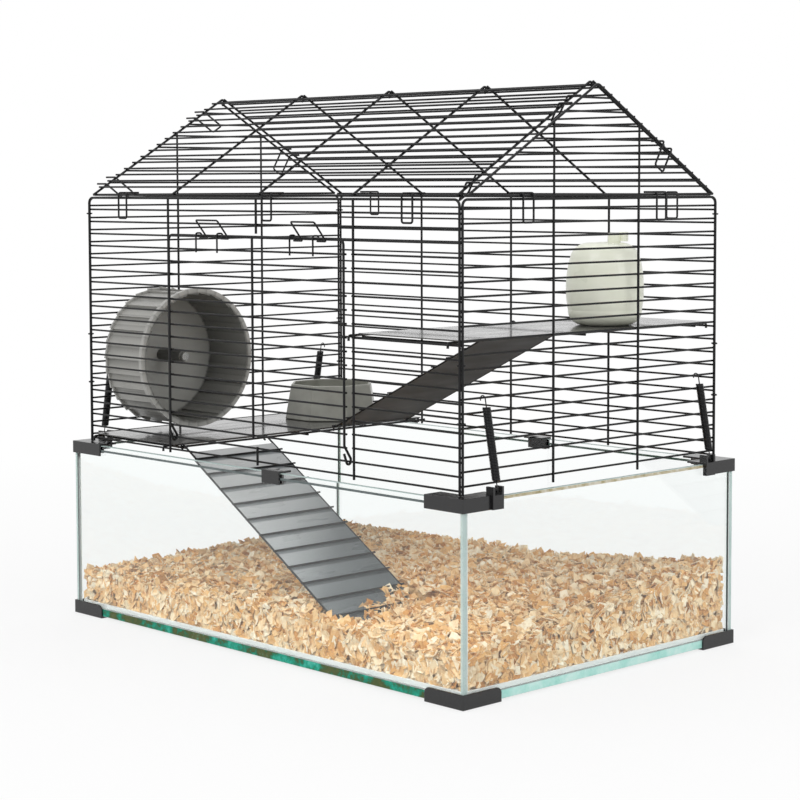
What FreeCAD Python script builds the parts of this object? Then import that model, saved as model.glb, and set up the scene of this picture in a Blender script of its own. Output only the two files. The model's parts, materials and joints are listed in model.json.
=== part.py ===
# Glass hamster cage: a glass tank filled with bedding, and a wire house that stands on its rim.
# Millimetres, +Z up, the front faces -Y, the origin is on the ground under the middle of the tank.
import FreeCAD, Part
import math
import os
import re

Vector = FreeCAD.Vector
Rotation = FreeCAD.Rotation
Placement = FreeCAD.Placement

doc = FreeCAD.newDocument("hamster_cage")
sizes = doc.addObject("Spreadsheet::Sheet", "Sizes")
places = doc.addObject("Spreadsheet::Sheet", "Places")

# Driving dimensions, each written once.
SIZES = (
    ("tank_length", 600.0),
    ("tank_depth", 394.0),
    ("tank_height", 190.0),
    ("glass_wall", 5.0),
    ("base_wall", 5.0),
    ("base_raise", 3.0),
    ("seam_gap", 0.6),
    ("guard_wall", 2.0),
    ("guard_arm", 50.0),
    ("guard_reach", 22.0),
    ("rim_guard_drop", 13.0),
    ("rim_guard_lip", 8.0),
    ("foot_guard_rise", 14.0),
    ("foot_guard_round", 6.0),
    ("catch_length", 14.0),
    ("catch_out", 2.6),
    ("catch_ear", 2.5),
    ("catch_ear_rise", 7.5),
    ("catch_ear_depth", 9.0),
    ("catch_pin", 4.3),
    ("rim_clip_place", 35.0),
    ("rim_clip_length", 26.0),
    ("rim_clip_prong", 7.0),
    ("bedding_left_front", 34.0),
    ("bedding_left_middle", 36.0),
    ("bedding_left_back", 45.0),
    ("bedding_front", 42.0),
    ("bedding_middle", 56.0),
    ("bedding_back", 51.0),
    ("bedding_right_front", 32.0),
    ("bedding_right_middle", 46.0),
    ("bedding_right_back", 74.0),
    ("bedding_heap_x", 75.0),
    ("bedding_heap_y", -40.0),
    ("bedding_gap", 0.4),
    ("pocket_gap", 4.0),
    ("cage_setback_x", 15.5),
    ("cage_setback_y", 13.5),
    ("wall_height", 265.2),
    ("post_wire", 2.5),
    ("cross_wire", 2.0),
    ("weld_sink", 0.25),
    ("post_inset", 1.9),
    ("stand_gap", 0.3),
    ("frame_bend", 6.0),
    ("wire_pitch", 13.1),
    ("front_lift", 3.7),
    ("side_stagger", 4.2),
    ("wire_overshoot", 0.5),
    ("jamb_overshoot", 4.0),
    ("tie_wire", 1.6),
    ("tie_gap", 0.15),
    ("door_side_gap", 7.5),
    ("door_shift", 2.25),
    ("door_clearance", 0.9),
    ("door_top_lift", 1.1),
    ("door_hook_gap", 0.5),
    ("door_hook_tip", 9.0),
    ("door_hook_slant", 15.0),
    ("latch_wire", 1.8),
    ("latch_gap", 0.4),
    ("latch_width", 34.0),
    ("latch_spacing", 146.0),
    ("latch_coil", 8.0),
    ("latch_drop", 17.0),
    ("latch_reach", 17.5),
    ("latch_run", 19.0),
    ("latch_shift", 1.75),
    ("latch_rise", 16.0),
    ("roof_rise", 107.2),
    ("eave_lift", 2.6),
    ("eave_inset", 8.5),
    ("roof_inset", 7.0),
    ("roof_stagger", 4.5),
    ("roof_start", 9.25),
    ("roof_overshoot", 3.0),
    ("curl_gap", 0.4),
    ("gable_out", 0.5),
    ("gable_lift", 3.2),
    ("gable_offset", 1.0),
    ("gable_rod", 2.35),
    ("gable_post", 2.2),
    ("clip_wire", 2.0),
    ("clip_width", 14.0),
    ("clip_drop", 27.0),
    ("clip_reach", 16.0),
    ("clip_rest", 0.1),
    ("clip_clearance", 0.3),
    ("eave_clip_spacing", 218.0),
    ("eave_clip_middle", 19.5),
    ("back_clip_spacing", 225.0),
    ("gable_clip_spacing", 191.0),
    ("gable_clip_shift", -3.4),
    ("clip_swing", 45.0),
    ("board_wall", 1.2),
    ("board_wire", 2.4),
    ("board_rest", 0.1),
    ("board_setback", 6.5),
    ("platform_reach", 150.5),
    ("platform_hook_inner", 17.0),
    ("platform_hook_outer", 141.0),
    ("shelf_reach", 146.3),
    ("shelf_hook_spread", 132.0),
    ("hook_drop", 5.0),
    ("ramp_wire", 2.0),
    ("ramp_rung", 1.8),
    ("ramp_width", 112.0),
    ("ramp_hinge_gap", 0.35),
    ("ramp_rung_pitch", 25.0),
    ("ramp_rung_overhang", 3.0),
    ("ramp_board_start", 14.0),
    ("ramp_fall", 32.0),
    ("lower_ramp_setback", 66.0),
    ("upper_ramp_setback", 87.5),
    ("wheel_diameter", 152.0),
    ("wheel_width", 68.0),
    ("wheel_shell", 2.4),
    ("wheel_rim", 2.5),
    ("wheel_setback", 88.5),
    ("wheel_row_lift", 3.7),
    ("wheel_tread", 2.0),
    ("wheel_tread_pitch", 17.0),
    ("wheel_stand_off", 8.5),
    ("axle_diameter", 6.0),
    ("axle_length", 48.0),
    ("stud_diameter", 3.6),
    ("hub_diameter", 12.5),
    ("hub_gap", 0.1),
    ("mount_diameter", 34.0),
    ("mount_wall", 3.0),
    ("screw_diameter", 9.0),
    ("screw_head", 4.0),
    ("bowl_setback_x", 70.0),
    ("bowl_setback_y", 77.0),
    ("bowl_base", 56.5),
    ("bowl_mouth", 49.0),
    ("bowl_height", 40.0),
    ("bowl_wall", 3.0),
    ("loose_gap", 0.3),
    ("pot_setback_x", 47.5),
    ("pot_y", 67.0),
    ("pot_foot", 24.0),
    ("pot_flank", 36.5),
    ("pot_flank_rise", 15.0),
    ("pot_belly", 38.5),
    ("pot_belly_rise", 39.0),
    ("pot_shoulder", 34.0),
    ("pot_shoulder_drop", 14.0),
    ("pot_crown", 16.0),
    ("pot_crown_drop", 1.0),
    ("pot_height", 82.0),
    ("pot_wall", 4.0),
    ("pot_door", 38.0),
    ("pot_stem", 12.5),
    ("pot_stem_rise", 8.5),
    ("pot_stem_offset", 6.4),
    ("pot_leaf", 9.0),
    ("pot_leaf_rise", 9.0),
    ("pot_leaf_offset", 13.0),
    ("spring_wire", 1.2),
    ("spring_coil", 8.0),
    ("spring_pitch", 2.7),
    ("spring_lead", 8.0),
    ("spring_hook", 3.1),
    ("spring_seat_gap", 0.3),
)

# Places that several pieces share, worked out from the driving dimensions.
PLACES = (
    ("glass_x", "tank_length / 2 - guard_wall"),
    ("glass_y", "tank_depth / 2 - guard_wall"),
    ("inner_x", "glass_x - glass_wall"),
    ("inner_y", "glass_y - glass_wall"),
    ("glass_top", "tank_height - guard_wall"),
    ("base_low", "guard_wall + base_raise"),
    ("base_top", "base_low + base_wall"),
    ("cage_length", "tank_length - 2 * cage_setback_x"),
    ("cage_depth", "tank_depth - 2 * cage_setback_y"),
    ("wall_x", "cage_length / 2"),
    ("wall_y", "cage_depth / 2"),
    ("post_x", "wall_x - post_inset"),
    ("post_y", "wall_y - post_inset"),
    ("post_foot", "tank_height + stand_gap"),
    ("weld_step", "(post_wire + cross_wire) / 2 - weld_sink"),
    ("wire_x", "wall_x - weld_step"),
    ("wire_y", "wall_y - weld_step"),
    ("wall_top", "tank_height + wall_height"),
    ("front_first", "tank_height + front_lift"),
    ("side_first", "front_first + side_stagger"),
    ("quarter_x", "cage_length / 4"),
    ("sixth_y", "cage_depth / 6"),
    ("eave_y", "wall_y - eave_inset"),
    ("eave_z", "wall_top + eave_lift"),
    ("ridge_z", "wall_top + roof_rise"),
    ("gable_x", "wall_x + gable_out"),
    ("gable_z", "wall_top + gable_lift"),
    ("door_y", "wire_y + (cross_wire + post_wire) / 2 + latch_wire + latch_gap + door_clearance"),
    ("door_right", "quarter_x - door_side_gap - door_shift"),
    ("door_left", "-quarter_x + door_side_gap - door_shift"),
    ("platform_rod_x", "-wall_x + platform_reach"),
    ("shelf_rod_x", "wall_x - shelf_reach"),
    ("lower_ramp_place", "-wall_y + lower_ramp_setback"),
    ("upper_ramp_place", "wall_y - upper_ramp_setback"),
    ("wheel_place", "-wall_y + wheel_setback"),
    ("bowl_x", "-wall_x + bowl_setback_x"),
    ("bowl_y", "wall_y - bowl_setback_y"),
    ("pot_x", "wall_x - pot_setback_x"),
    ("board_lift", "(cross_wire + board_wire) / 2 + board_rest"),
    ("catch_pin_x", "tank_length / 2 + catch_out - catch_ear_depth / 2"),
    ("catch_pin_z", "tank_height + spring_hook + spring_wire / 2 + loose_gap + stand_gap"),
)

SIZE_NAMES = set(name for name, number in SIZES)
PLACE_NAMES = set(name for name, text in PLACES)


def bound(text):
    """An expression in plain size names, with each name tied to its spreadsheet."""
    def tie(match):
        word = match.group(0)
        if word in SIZE_NAMES:
            return "Sizes." + word
        if word in PLACE_NAMES:
            return "Places." + word
        return word
    return re.sub(r"[a-z_]+", tie, text)


for row, (name, number) in enumerate(SIZES, 1):
    sizes.set(f"A{row}", str(number))
    sizes.setAlias(f"A{row}", name)
for row, (name, text) in enumerate(PLACES, 1):
    places.set(f"A{row}", "=" + bound(text).replace("Places.", ""))
    places.setAlias(f"A{row}", name)
doc.recompute()


def value(name):
    """The number behind a size or a place."""
    table = sizes if name in SIZE_NAMES else places
    return float(table.get(name))


# Rows of wires: as many as fit under the top rod.
TOP_ROOM = 2 * value("post_wire")
ROWS = int((value("wall_height") - value("front_lift") - value("side_stagger") - TOP_ROOM) / value("wire_pitch")) + 1
DOOR_SILL = 1
DOOR_HEAD = ROWS - 3
SHELF_ROW = ROWS // 2
PLATFORM_ROW = 0
WHEEL_ROW = 6
SPRING_ROW = 6
TIE_ROWS = (4, 8, ROWS - 2)

TURN = {
    "x": Rotation(Vector(0, 1, 0), 90),
    "y": Rotation(Vector(1, 0, 0), -90),
    "z": Rotation(),
}
AXIS_X = Vector(1, 0, 0)
AXIS_Y = Vector(0, 1, 0)
AXIS_Z = Vector(0, 0, 1)
NODES = []


def node(piece, label):
    """Keep a finished piece under its own name."""
    piece.Label = label
    NODES.append(piece)
    return piece


def seat(piece, low):
    for axis, text in zip("xyz", low):
        piece.setExpression("Placement.Base." + axis, bound(str(text)))


def block(size, low):
    box = doc.addObject("Part::Box", "block")
    for side, text in zip(("Length", "Width", "Height"), size):
        box.setExpression(side, bound(str(text)))
    seat(box, low)
    return box


def rod(axis, diameter, length, start):
    bar = doc.addObject("Part::Cylinder", "rod")
    bar.Placement = Placement(Vector(), TURN[axis])
    bar.setExpression("Radius", bound(f"({diameter}) / 2"))
    bar.setExpression("Height", bound(str(length)))
    seat(bar, start)
    return bar


def solid(shape):
    piece = doc.addObject("Part::Feature", "solid")
    piece.Shape = shape
    return piece


def fuse(pieces):
    joined = doc.addObject("Part::MultiFuse", "fuse")
    joined.Shapes = pieces
    joined.Refine = False
    return joined


def cut(base, tool):
    rest = doc.addObject("Part::Cut", "cut")
    rest.Base = base
    rest.Tool = tool
    return rest


def group(pieces):
    together = doc.addObject("Part::Compound", "group")
    together.Links = pieces
    return together


# Bent wire: a path is a list of straight runs (two points) and arcs (three points).
def rounded(points, bend):
    """Straight runs through the points, with an arc of radius bend at each inner point."""
    path = []
    start = points[0]
    for before, corner, after in zip(points, points[1:], points[2:]):
        into = (corner - before).normalize()
        out = (after - corner).normalize()
        half_turn = into.getAngle(out) / 2
        setback = bend * math.tan(half_turn)
        inward = (out - into).normalize()
        arc_start = corner - into * setback
        arc_end = corner + out * setback
        middle = corner + inward * (bend / math.cos(half_turn) - bend)
        path.append((start, arc_start))
        path.append((arc_start, middle, arc_end))
        start = arc_end
    path.append((start, points[-1]))
    return path


def arc(centre, across, up, radius, first, last):
    """An arc round centre from the angle first to the angle last, in degrees."""
    def at(angle):
        turn = math.radians(angle)
        return centre + across * (radius * math.cos(turn)) + up * (radius * math.sin(turn))
    return (at(first), at((first + last) / 2), at(last))


def backwards(path):
    return [tuple(reversed(run)) for run in reversed(path)]


def moved(path, place):
    return [tuple(place(point) for point in run) for run in path]


def tube(path, diameter):
    """A round wire along a path."""
    shortest = diameter / 1000
    edges = []
    for run in path:
        if len(run) == 3:
            edges.append(Part.Arc(*run).toShape())
        elif (run[1] - run[0]).Length > shortest:
            edges.append(Part.LineSegment(*run).toShape())
    first = edges[0]
    start = first.valueAt(first.FirstParameter)
    heading = first.tangentAt(first.FirstParameter)
    section = Part.Wire(Part.makeCircle(diameter / 2, start, heading))
    return Part.Wire(edges).makePipeShell([section], True, False)


# Tank: five panes, seams, corner guards, rim clips and bedding.
def pane(label, size, low):
    node(block(size, low), label)


PANE_RISE = "glass_top - guard_wall"
SIDE_LENGTH = "2 * (inner_y - seam_gap)"
pane("base_glass", ("2 * (inner_x - seam_gap)", "2 * (inner_y - seam_gap)", "base_wall"),
     ("-inner_x + seam_gap", "-inner_y + seam_gap", "base_low"))
pane("front_glass", ("2 * glass_x", "glass_wall", PANE_RISE), ("-glass_x", "-glass_y", "guard_wall"))
pane("back_glass", ("2 * glass_x", "glass_wall", PANE_RISE), ("-glass_x", "inner_y", "guard_wall"))
pane("left_glass", ("glass_wall", SIDE_LENGTH, PANE_RISE), ("-glass_x", "-inner_y + seam_gap", "guard_wall"))
pane("right_glass", ("glass_wall", SIDE_LENGTH, PANE_RISE), ("inner_x", "-inner_y + seam_gap", "guard_wall"))


def silicone_seams():
    """Silicone between the side panes and the long panes, and round the base pane."""
    seams = []
    for left in ("-glass_x", "inner_x"):
        for front in ("-inner_y", "inner_y - seam_gap"):
            seams.append(block(("glass_wall", "seam_gap", PANE_RISE), (left, front, "guard_wall")))
    for front in ("-inner_y", "inner_y - seam_gap"):
        seams.append(block(("2 * inner_x", "seam_gap", "base_wall"), ("-inner_x", front, "base_low")))
    for left in ("-inner_x", "inner_x - seam_gap"):
        seams.append(block(("seam_gap", SIDE_LENGTH, "base_wall"), (left, "-inner_y + seam_gap", "base_low")))
    node(group(seams), "silicone_seams")


silicone_seams()


def low_side(sign, outer, width):
    """The lower end of a span of this width that starts at the outer face on one side."""
    return f"{outer} - ({width})" if sign > 0 else f"-({outer})"


def low_inside(sign, inner, width):
    """The lower end of a span of this width that reaches inwards from a face on one side."""
    return f"{inner} - ({width})" if sign > 0 else f"-({inner})"


HALF_LENGTH = "tank_length / 2"
HALF_DEPTH = "tank_depth / 2"


def rim_guard(side_x, side_y, label):
    """An L-shaped cap over a top corner: a flat plate, two outer flanges and two inner lips."""
    x_arm = "guard_arm"
    y_arm = "(guard_arm - catch_length)"
    plate_z = "tank_height - guard_wall"
    flange_z = "tank_height - rim_guard_drop"
    lip_z = "tank_height - guard_wall - rim_guard_lip"
    pieces = [
        block((x_arm, "guard_reach", "guard_wall"),
              (low_side(side_x, HALF_LENGTH, x_arm), low_side(side_y, HALF_DEPTH, "guard_reach"), plate_z)),
        block(("guard_reach", y_arm, "guard_wall"),
              (low_side(side_x, HALF_LENGTH, "guard_reach"), low_side(side_y, HALF_DEPTH, y_arm), plate_z)),
        block((x_arm, "guard_wall", "rim_guard_drop"),
              (low_side(side_x, HALF_LENGTH, x_arm), low_side(side_y, HALF_DEPTH, "guard_wall"), flange_z)),
        block(("guard_wall", y_arm, "rim_guard_drop"),
              (low_side(side_x, HALF_LENGTH, "guard_wall"), low_side(side_y, HALF_DEPTH, y_arm), flange_z)),
    ]
    x_lip = f"({x_arm} - guard_wall - glass_wall)"
    y_lip = f"({y_arm} - guard_wall - glass_wall)"
    pieces.append(block((x_lip, "guard_wall", "rim_guard_lip"),
                        (low_inside(side_x, "inner_x", x_lip), low_inside(side_y, "inner_y", "guard_wall"), lip_z)))
    pieces.append(block(("guard_wall", y_lip, "rim_guard_lip"),
                        (low_inside(side_x, "inner_x", "guard_wall"), low_inside(side_y, "inner_y", y_lip), lip_z)))
    node(fuse(pieces), label)


def flange(axis, side_x, side_y):
    """One outer flange of a foot guard, with a rounded upper end."""
    arm = "guard_arm"
    rise = "foot_guard_rise"
    soft = "foot_guard_round"
    short = f"({arm} - {soft})"
    if axis == "x":
        across = low_side(side_y, HALF_DEPTH, "guard_wall")
        ends = (low_side(side_x, HALF_LENGTH, arm), low_side(side_x, HALF_LENGTH, short))
        full = block((arm, "guard_wall", f"{rise} - {soft}"), (ends[0], across, "0"))
        tall = block((short, "guard_wall", rise), (ends[1], across, "0"))
        middle = f"{side_x} * ({HALF_LENGTH} - {short})"
        corner = rod("y", f"2 * {soft}", "guard_wall", (middle, across, f"{rise} - {soft}"))
    else:
        across = low_side(side_x, HALF_LENGTH, "guard_wall")
        ends = (low_side(side_y, HALF_DEPTH, arm), low_side(side_y, HALF_DEPTH, short))
        full = block(("guard_wall", arm, f"{rise} - {soft}"), (across, ends[0], "0"))
        tall = block(("guard_wall", short, rise), (across, ends[1], "0"))
        middle = f"{side_y} * ({HALF_DEPTH} - {short})"
        corner = rod("x", f"2 * {soft}", "guard_wall", (across, middle, f"{rise} - {soft}"))
    return [full, tall, corner]


def foot_guard(side_x, side_y, label):
    """An L-shaped cup under a bottom corner, which the tank stands on."""
    floor_x = block(("guard_arm", "guard_reach", "guard_wall"),
                    (low_side(side_x, HALF_LENGTH, "guard_arm"), low_side(side_y, HALF_DEPTH, "guard_reach"), "0"))
    floor_y = block(("guard_reach", "guard_arm", "guard_wall"),
                    (low_side(side_x, HALF_LENGTH, "guard_reach"), low_side(side_y, HALF_DEPTH, "guard_arm"), "0"))
    node(fuse([floor_x, floor_y] + flange("x", side_x, side_y) + flange("y", side_x, side_y)), label)


CORNERS = (("front_left", -1, -1), ("front_right", 1, -1), ("back_left", -1, 1), ("back_right", 1, 1))
for corner_name, corner_x, corner_y in CORNERS:
    foot_guard(corner_x, corner_y, corner_name + "_foot_guard")
    rim_guard(corner_x, corner_y, corner_name + "_rim_guard")


def spring_catch(side_x, side_y):
    """The end of a rim guard's side arm: a channel with two ears and the pin that a spring hooks on."""
    near = "(tank_depth / 2 - guard_arm + catch_length)"
    start_y = low_side(side_y, near, "catch_length")
    face = "(tank_length / 2 + catch_out)"
    plate = block(("guard_reach + catch_out", "catch_length", "guard_wall"),
                  (low_side(side_x, face, "(guard_reach + catch_out)"), start_y, "tank_height - guard_wall"))
    skirt = block(("guard_wall + catch_out", "catch_length", "rim_guard_drop"),
                  (low_side(side_x, face, "(guard_wall + catch_out)"), start_y, "tank_height - rim_guard_drop"))
    ears = []
    far_y = f"{start_y} + catch_length - catch_ear"
    for ear_y in (start_y, far_y):
        ears.append(block(("catch_ear_depth", "catch_ear", "catch_ear_rise"),
                          (low_side(side_x, face, "catch_ear_depth"), ear_y, "tank_height")))
    pin = rod("y", "catch_pin", "catch_length", (f"{side_x} * catch_pin_x", start_y, "catch_pin_z"))
    return fuse([plate, skirt, pin] + ears)


node(group([spring_catch(side_x, side_y) for name, side_x, side_y in CORNERS]), "spring_catches")


def rim_clip(side_y, label):
    """A channel clip over the middle of a long rim, with a prong that reaches under the wire wall."""
    start_x = "rim_clip_place - rim_clip_length / 2"
    top = block(("rim_clip_length", "2 * guard_wall + glass_wall", "guard_wall"),
                (start_x, low_side(side_y, HALF_DEPTH, "(2 * guard_wall + glass_wall)"), "glass_top"))
    outer = block(("rim_clip_length", "guard_wall", "rim_guard_drop"),
                  (start_x, low_side(side_y, HALF_DEPTH, "guard_wall"), "tank_height - rim_guard_drop"))
    inner = block(("rim_clip_length", "guard_wall", "rim_guard_drop"),
                  (start_x, low_inside(side_y, "inner_y", "guard_wall"), "tank_height - rim_guard_drop"))
    prongs = []
    reach = "(rim_clip_prong + guard_wall)"
    for share in (0, 2):
        prongs.append(block(("rim_clip_length / 3", reach, "guard_wall"),
                            (f"{start_x} + {share} * rim_clip_length / 3", low_inside(side_y, "inner_y", reach),
                             "glass_top")))
    node(fuse([top, outer, inner] + prongs), label)


rim_clip(-1, "front_rim_clip")
rim_clip(1, "back_rim_clip")

# Ramps: both have the length between the platform's edge rod and the shelf's edge rod.
PLATFORM_WIRE_Z = value("front_first") + PLATFORM_ROW * value("wire_pitch") + value("board_lift")
SHELF_WIRE_Z = value("front_first") + SHELF_ROW * value("wire_pitch") + value("board_lift")
RAMP_SPAN_X = value("shelf_rod_x") - value("platform_rod_x")
RAMP_SPAN_Z = SHELF_WIRE_Z - PLATFORM_WIRE_Z
RAMP_LENGTH = math.hypot(RAMP_SPAN_X, RAMP_SPAN_Z)
UPPER_FALL = math.degrees(math.atan2(RAMP_SPAN_Z, RAMP_SPAN_X))
RAMP_HOOK = (value("board_wire") + value("ramp_wire")) / 2 + value("ramp_hinge_gap")
RUNG_LIFT = RAMP_HOOK + (value("ramp_wire") + value("ramp_rung")) / 2 - value("weld_sink")


def ramp_frame(hinge, heading, fall):
    """The hinge, the direction down the slope and the direction square to the slope."""
    turn = math.radians(fall)
    down = Vector(heading * math.cos(turn), 0, -math.sin(turn))
    up = Vector(heading * math.sin(turn), 0, math.cos(turn))
    return hinge, down, up


LOWER_FRAME = ramp_frame(Vector(value("platform_rod_x"), value("lower_ramp_place"), PLATFORM_WIRE_Z), 1,
                         value("ramp_fall"))
UPPER_FRAME = ramp_frame(Vector(value("shelf_rod_x"), value("upper_ramp_place"), SHELF_WIRE_Z), -1, UPPER_FALL)
HOOK_WRAP = 210.0
FOOT_WRAP = 60.0
FOOT_TIP = 2.0


def ramp_wires(frame, label):
    """Two side wires, hooked over the rods at both ends, and the rungs across them."""
    hinge, down, up = frame
    half = value("ramp_width") / 2
    wires = []
    for side in (-half, half):
        top = hinge + AXIS_Y * side
        foot = top + down * RAMP_LENGTH
        hook = arc(top, down, up, RAMP_HOOK, 90 + HOOK_WRAP, 90)
        toe = arc(foot, down, up, RAMP_HOOK, 90, 90 - FOOT_WRAP)
        toe_turn = math.radians(FOOT_WRAP)
        toe_heading = down * math.cos(toe_turn) - up * math.sin(toe_turn)
        path = [hook, (hook[2], toe[0]), toe, (toe[2], toe[2] + toe_heading * FOOT_TIP)]
        wires.append(solid(tube(path, value("ramp_wire"))))
    pitch = value("ramp_rung_pitch")
    reach = half + value("ramp_rung_overhang")
    first = value("ramp_board_start") + pitch / 2
    for step in range(int((RAMP_LENGTH - first) / pitch) + 1):
        middle = hinge + down * (first + step * pitch) + up * RUNG_LIFT
        bar = Part.makeCylinder(value("ramp_rung") / 2, 2 * reach, middle - AXIS_Y * reach, AXIS_Y)
        wires.append(solid(bar))
    node(fuse(wires), label)


def ramp_board(frame, label):
    """The sheet between the side wires, under the rungs."""
    hinge, down, up = frame
    sheet = doc.addObject("Part::Box", "board")
    sheet.setExpression("Length", bound(f"{RAMP_LENGTH} - 1.5 * ramp_board_start"))
    sheet.setExpression("Width", bound("ramp_width - ramp_wire"))
    sheet.setExpression("Height", bound("board_wall"))
    turn = Rotation(down, AXIS_Y * (1 if down.x > 0 else -1), up, "XYZ")
    corner = hinge + down * value("ramp_board_start") + up * (RAMP_HOOK - value("board_wall") / 2)
    side = (value("ramp_width") - value("ramp_wire")) / 2
    sheet.Placement = Placement(corner - turn.multVec(AXIS_Y) * side, turn)
    node(sheet, label)


ramp_wires(LOWER_FRAME, "lower_ramp_wires")
ramp_board(LOWER_FRAME, "lower_ramp_board")
ramp_wires(UPPER_FRAME, "upper_ramp_wires")
ramp_board(UPPER_FRAME, "upper_ramp_board")


def bedding_section(x, heights):
    """The outline of the bed across the tank at x, from its heights at the front, the heap and the back."""
    half_y = value("inner_y") - value("bedding_gap")
    floor = value("base_top")
    front, middle, back = (floor + value("bedding_" + name) for name in heights)
    corners = [
        Vector(x, -half_y, floor),
        Vector(x, half_y, floor),
        Vector(x, half_y, back),
        Vector(x, value("bedding_heap_y"), middle),
        Vector(x, -half_y, front),
    ]
    return Part.makePolygon(corners + corners[:1])


def bedding():
    """A heaped bed of shavings, with a trench where the lower ramp stands in it."""
    half_x = value("inner_x") - value("bedding_gap")
    sections = [
        bedding_section(-half_x, ("left_front", "left_middle", "left_back")),
        bedding_section(value("bedding_heap_x"), ("front", "middle", "back")),
        bedding_section(half_x, ("right_front", "right_middle", "right_back")),
    ]
    heap = solid(Part.makeLoft(sections, True, True))
    hinge, down, up = LOWER_FRAME
    gap = value("pocket_gap")
    reach = value("ramp_width") / 2 + value("ramp_rung_overhang") + gap
    length = RAMP_LENGTH + RAMP_HOOK + gap
    trench = Part.makeBox(length, 2 * reach, value("tank_height"))
    turn = Rotation(down, AXIS_Y, up, "XYZ")
    low = hinge - AXIS_Y * reach - up * gap
    hole = solid(trench)
    hole.Placement = Placement(low, turn)
    node(cut(heap, hole), "bedding")


bedding()


# Wire house: four walls.
def frame_wire(corners):
    """The thick wire round a panel, bent at its corners."""
    return solid(tube(rounded(corners, value("frame_bend")), value("post_wire")))


def wall(label, axis, outward, doorway=False):
    """A welded panel: a bent frame, thick uprights outside and thin wires inside."""
    along_x = axis == "x"
    plane = f"{outward} * wall_y" if along_x else f"{outward} * wall_x"
    inner = f"{outward} * wire_y" if along_x else f"{outward} * wire_x"
    reach = "post_x" if along_x else "post_y"
    first = "front_first" if along_x else "side_first"
    uprights = ("-quarter_x", "0", "quarter_x") if along_x else ("-sixth_y", "sixth_y")

    def spot(along, across, up):
        return (along, across, up) if along_x else (across, along, up)

    end = value(reach)
    flat = outward * (value("wall_y") if along_x else value("wall_x"))
    foot = value("post_foot")
    top = value("wall_top")
    corners = [spot(-end, flat, foot), spot(-end, flat, top), spot(end, flat, top), spot(end, flat, foot)]
    pieces = [frame_wire([Vector(*corner) for corner in corners])]
    stub_top = f"front_first + {DOOR_HEAD} * wire_pitch + door_top_lift + post_wire / 2 + 2 * door_clearance"
    stub_foot = f"front_first + {DOOR_SILL} * wire_pitch + cross_wire - post_foot"
    for upright in uprights:
        if doorway and upright == "0":
            pieces.append(rod("z", "post_wire", stub_foot, spot(upright, plane, "post_foot")))
            pieces.append(rod("z", "post_wire", f"wall_top - ({stub_top})", spot(upright, plane, stub_top)))
        else:
            pieces.append(rod("z", "post_wire", "wall_top - post_foot", spot(upright, plane, "post_foot")))
    for level in range(ROWS):
        height = f"{first} + {level} * wire_pitch"
        if doorway and DOOR_SILL < level < DOOR_HEAD:
            short = f"{reach} - quarter_x + wire_overshoot + jamb_overshoot"
            pieces.append(rod(axis, "cross_wire", short, spot(f"-{reach} - wire_overshoot", inner, height)))
            pieces.append(rod(axis, "cross_wire", short, spot("quarter_x - jamb_overshoot", inner, height)))
        else:
            pieces.append(rod(axis, "cross_wire", f"2 * ({reach} + wire_overshoot)",
                              spot(f"-{reach} - wire_overshoot", inner, height)))
    node(fuse(pieces), label)


wall("front_wall", "x", -1, doorway=True)
wall("back_wall", "x", 1)
wall("left_wall", "y", -1)
wall("right_wall", "y", 1)

# Roof: both slopes are drawn flat, with X along the ridge, Y down the slope and Z outwards.
ROOF_FALL = value("ridge_z") - value("eave_z")
SLOPE = math.atan2(ROOF_FALL, value("eave_y"))
SLOPE_LENGTH = math.hypot(ROOF_FALL, value("eave_y"))
ROOF_HALF = value("wall_x") - value("roof_inset")
CURL = value("post_wire") + value("curl_gap")
WELD = value("post_wire") - value("weld_sink")
ROOF_ROWS = int((SLOPE_LENGTH - value("roof_start") - TOP_ROOM) / value("wire_pitch")) + 1
CURL_WRAP = 210.0
RIDGE = Vector(0, 0, value("ridge_z"))
FRONT_SLOPE = Placement(RIDGE, Rotation(Vector(-1, 0, 0), Vector(0, -math.cos(SLOPE), -math.sin(SLOPE)),
                                        Vector(0, -math.sin(SLOPE), math.cos(SLOPE)), "XYZ"))
BACK_SLOPE = Placement(RIDGE, Rotation(Vector(1, 0, 0), Vector(0, math.cos(SLOPE), -math.sin(SLOPE)),
                                       Vector(0, math.sin(SLOPE), math.cos(SLOPE)), "XYZ"))


def row_down(row):
    """How far a roof wire lies down the slope, counted from the eave."""
    return SLOPE_LENGTH - value("roof_start") - row * value("wire_pitch")


def roof(label, place, hinged):
    """A roof slope: five sloping wires under thin wires, curled over the ridge rod or welded to it."""
    lift = CURL if hinged else WELD
    shift = value("roof_stagger") / 2
    thick = value("post_wire") / 2
    pieces = []
    for share in (-1.0, -0.5, 0.0, 0.5, 1.0):
        across = share * ROOF_HALF + shift
        eave = Vector(across, SLOPE_LENGTH + value("post_wire"), lift)
        if hinged:
            curl = arc(Vector(across, 0, 0), AXIS_Y, AXIS_Z, lift, 90 + CURL_WRAP, 90)
            path = [curl, (curl[2], eave)]
        else:
            path = [(Vector(across, -value("post_wire"), lift), eave)]
        pieces.append(solid(tube(path, value("post_wire"))))
    reach = ROOF_HALF + value("roof_overshoot")
    start = shift - reach
    eave_rod = Part.makeCylinder(thick, 2 * reach, Vector(start, SLOPE_LENGTH, lift - WELD), AXIS_X)
    pieces.append(solid(eave_rod))
    if not hinged:
        pieces.append(solid(Part.makeCylinder(thick, 2 * reach, Vector(-reach, 0, 0), AXIS_X)))
    for row in range(ROOF_ROWS):
        low = Vector(start, row_down(row), lift + value("weld_step"))
        pieces.append(solid(Part.makeCylinder(value("cross_wire") / 2, 2 * reach, low, AXIS_X)))
    panel = fuse(pieces)
    panel.Placement = place
    node(panel, label)


roof("front_roof", FRONT_SLOPE, hinged=True)
roof("back_roof", BACK_SLOPE, hinged=False)


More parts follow.
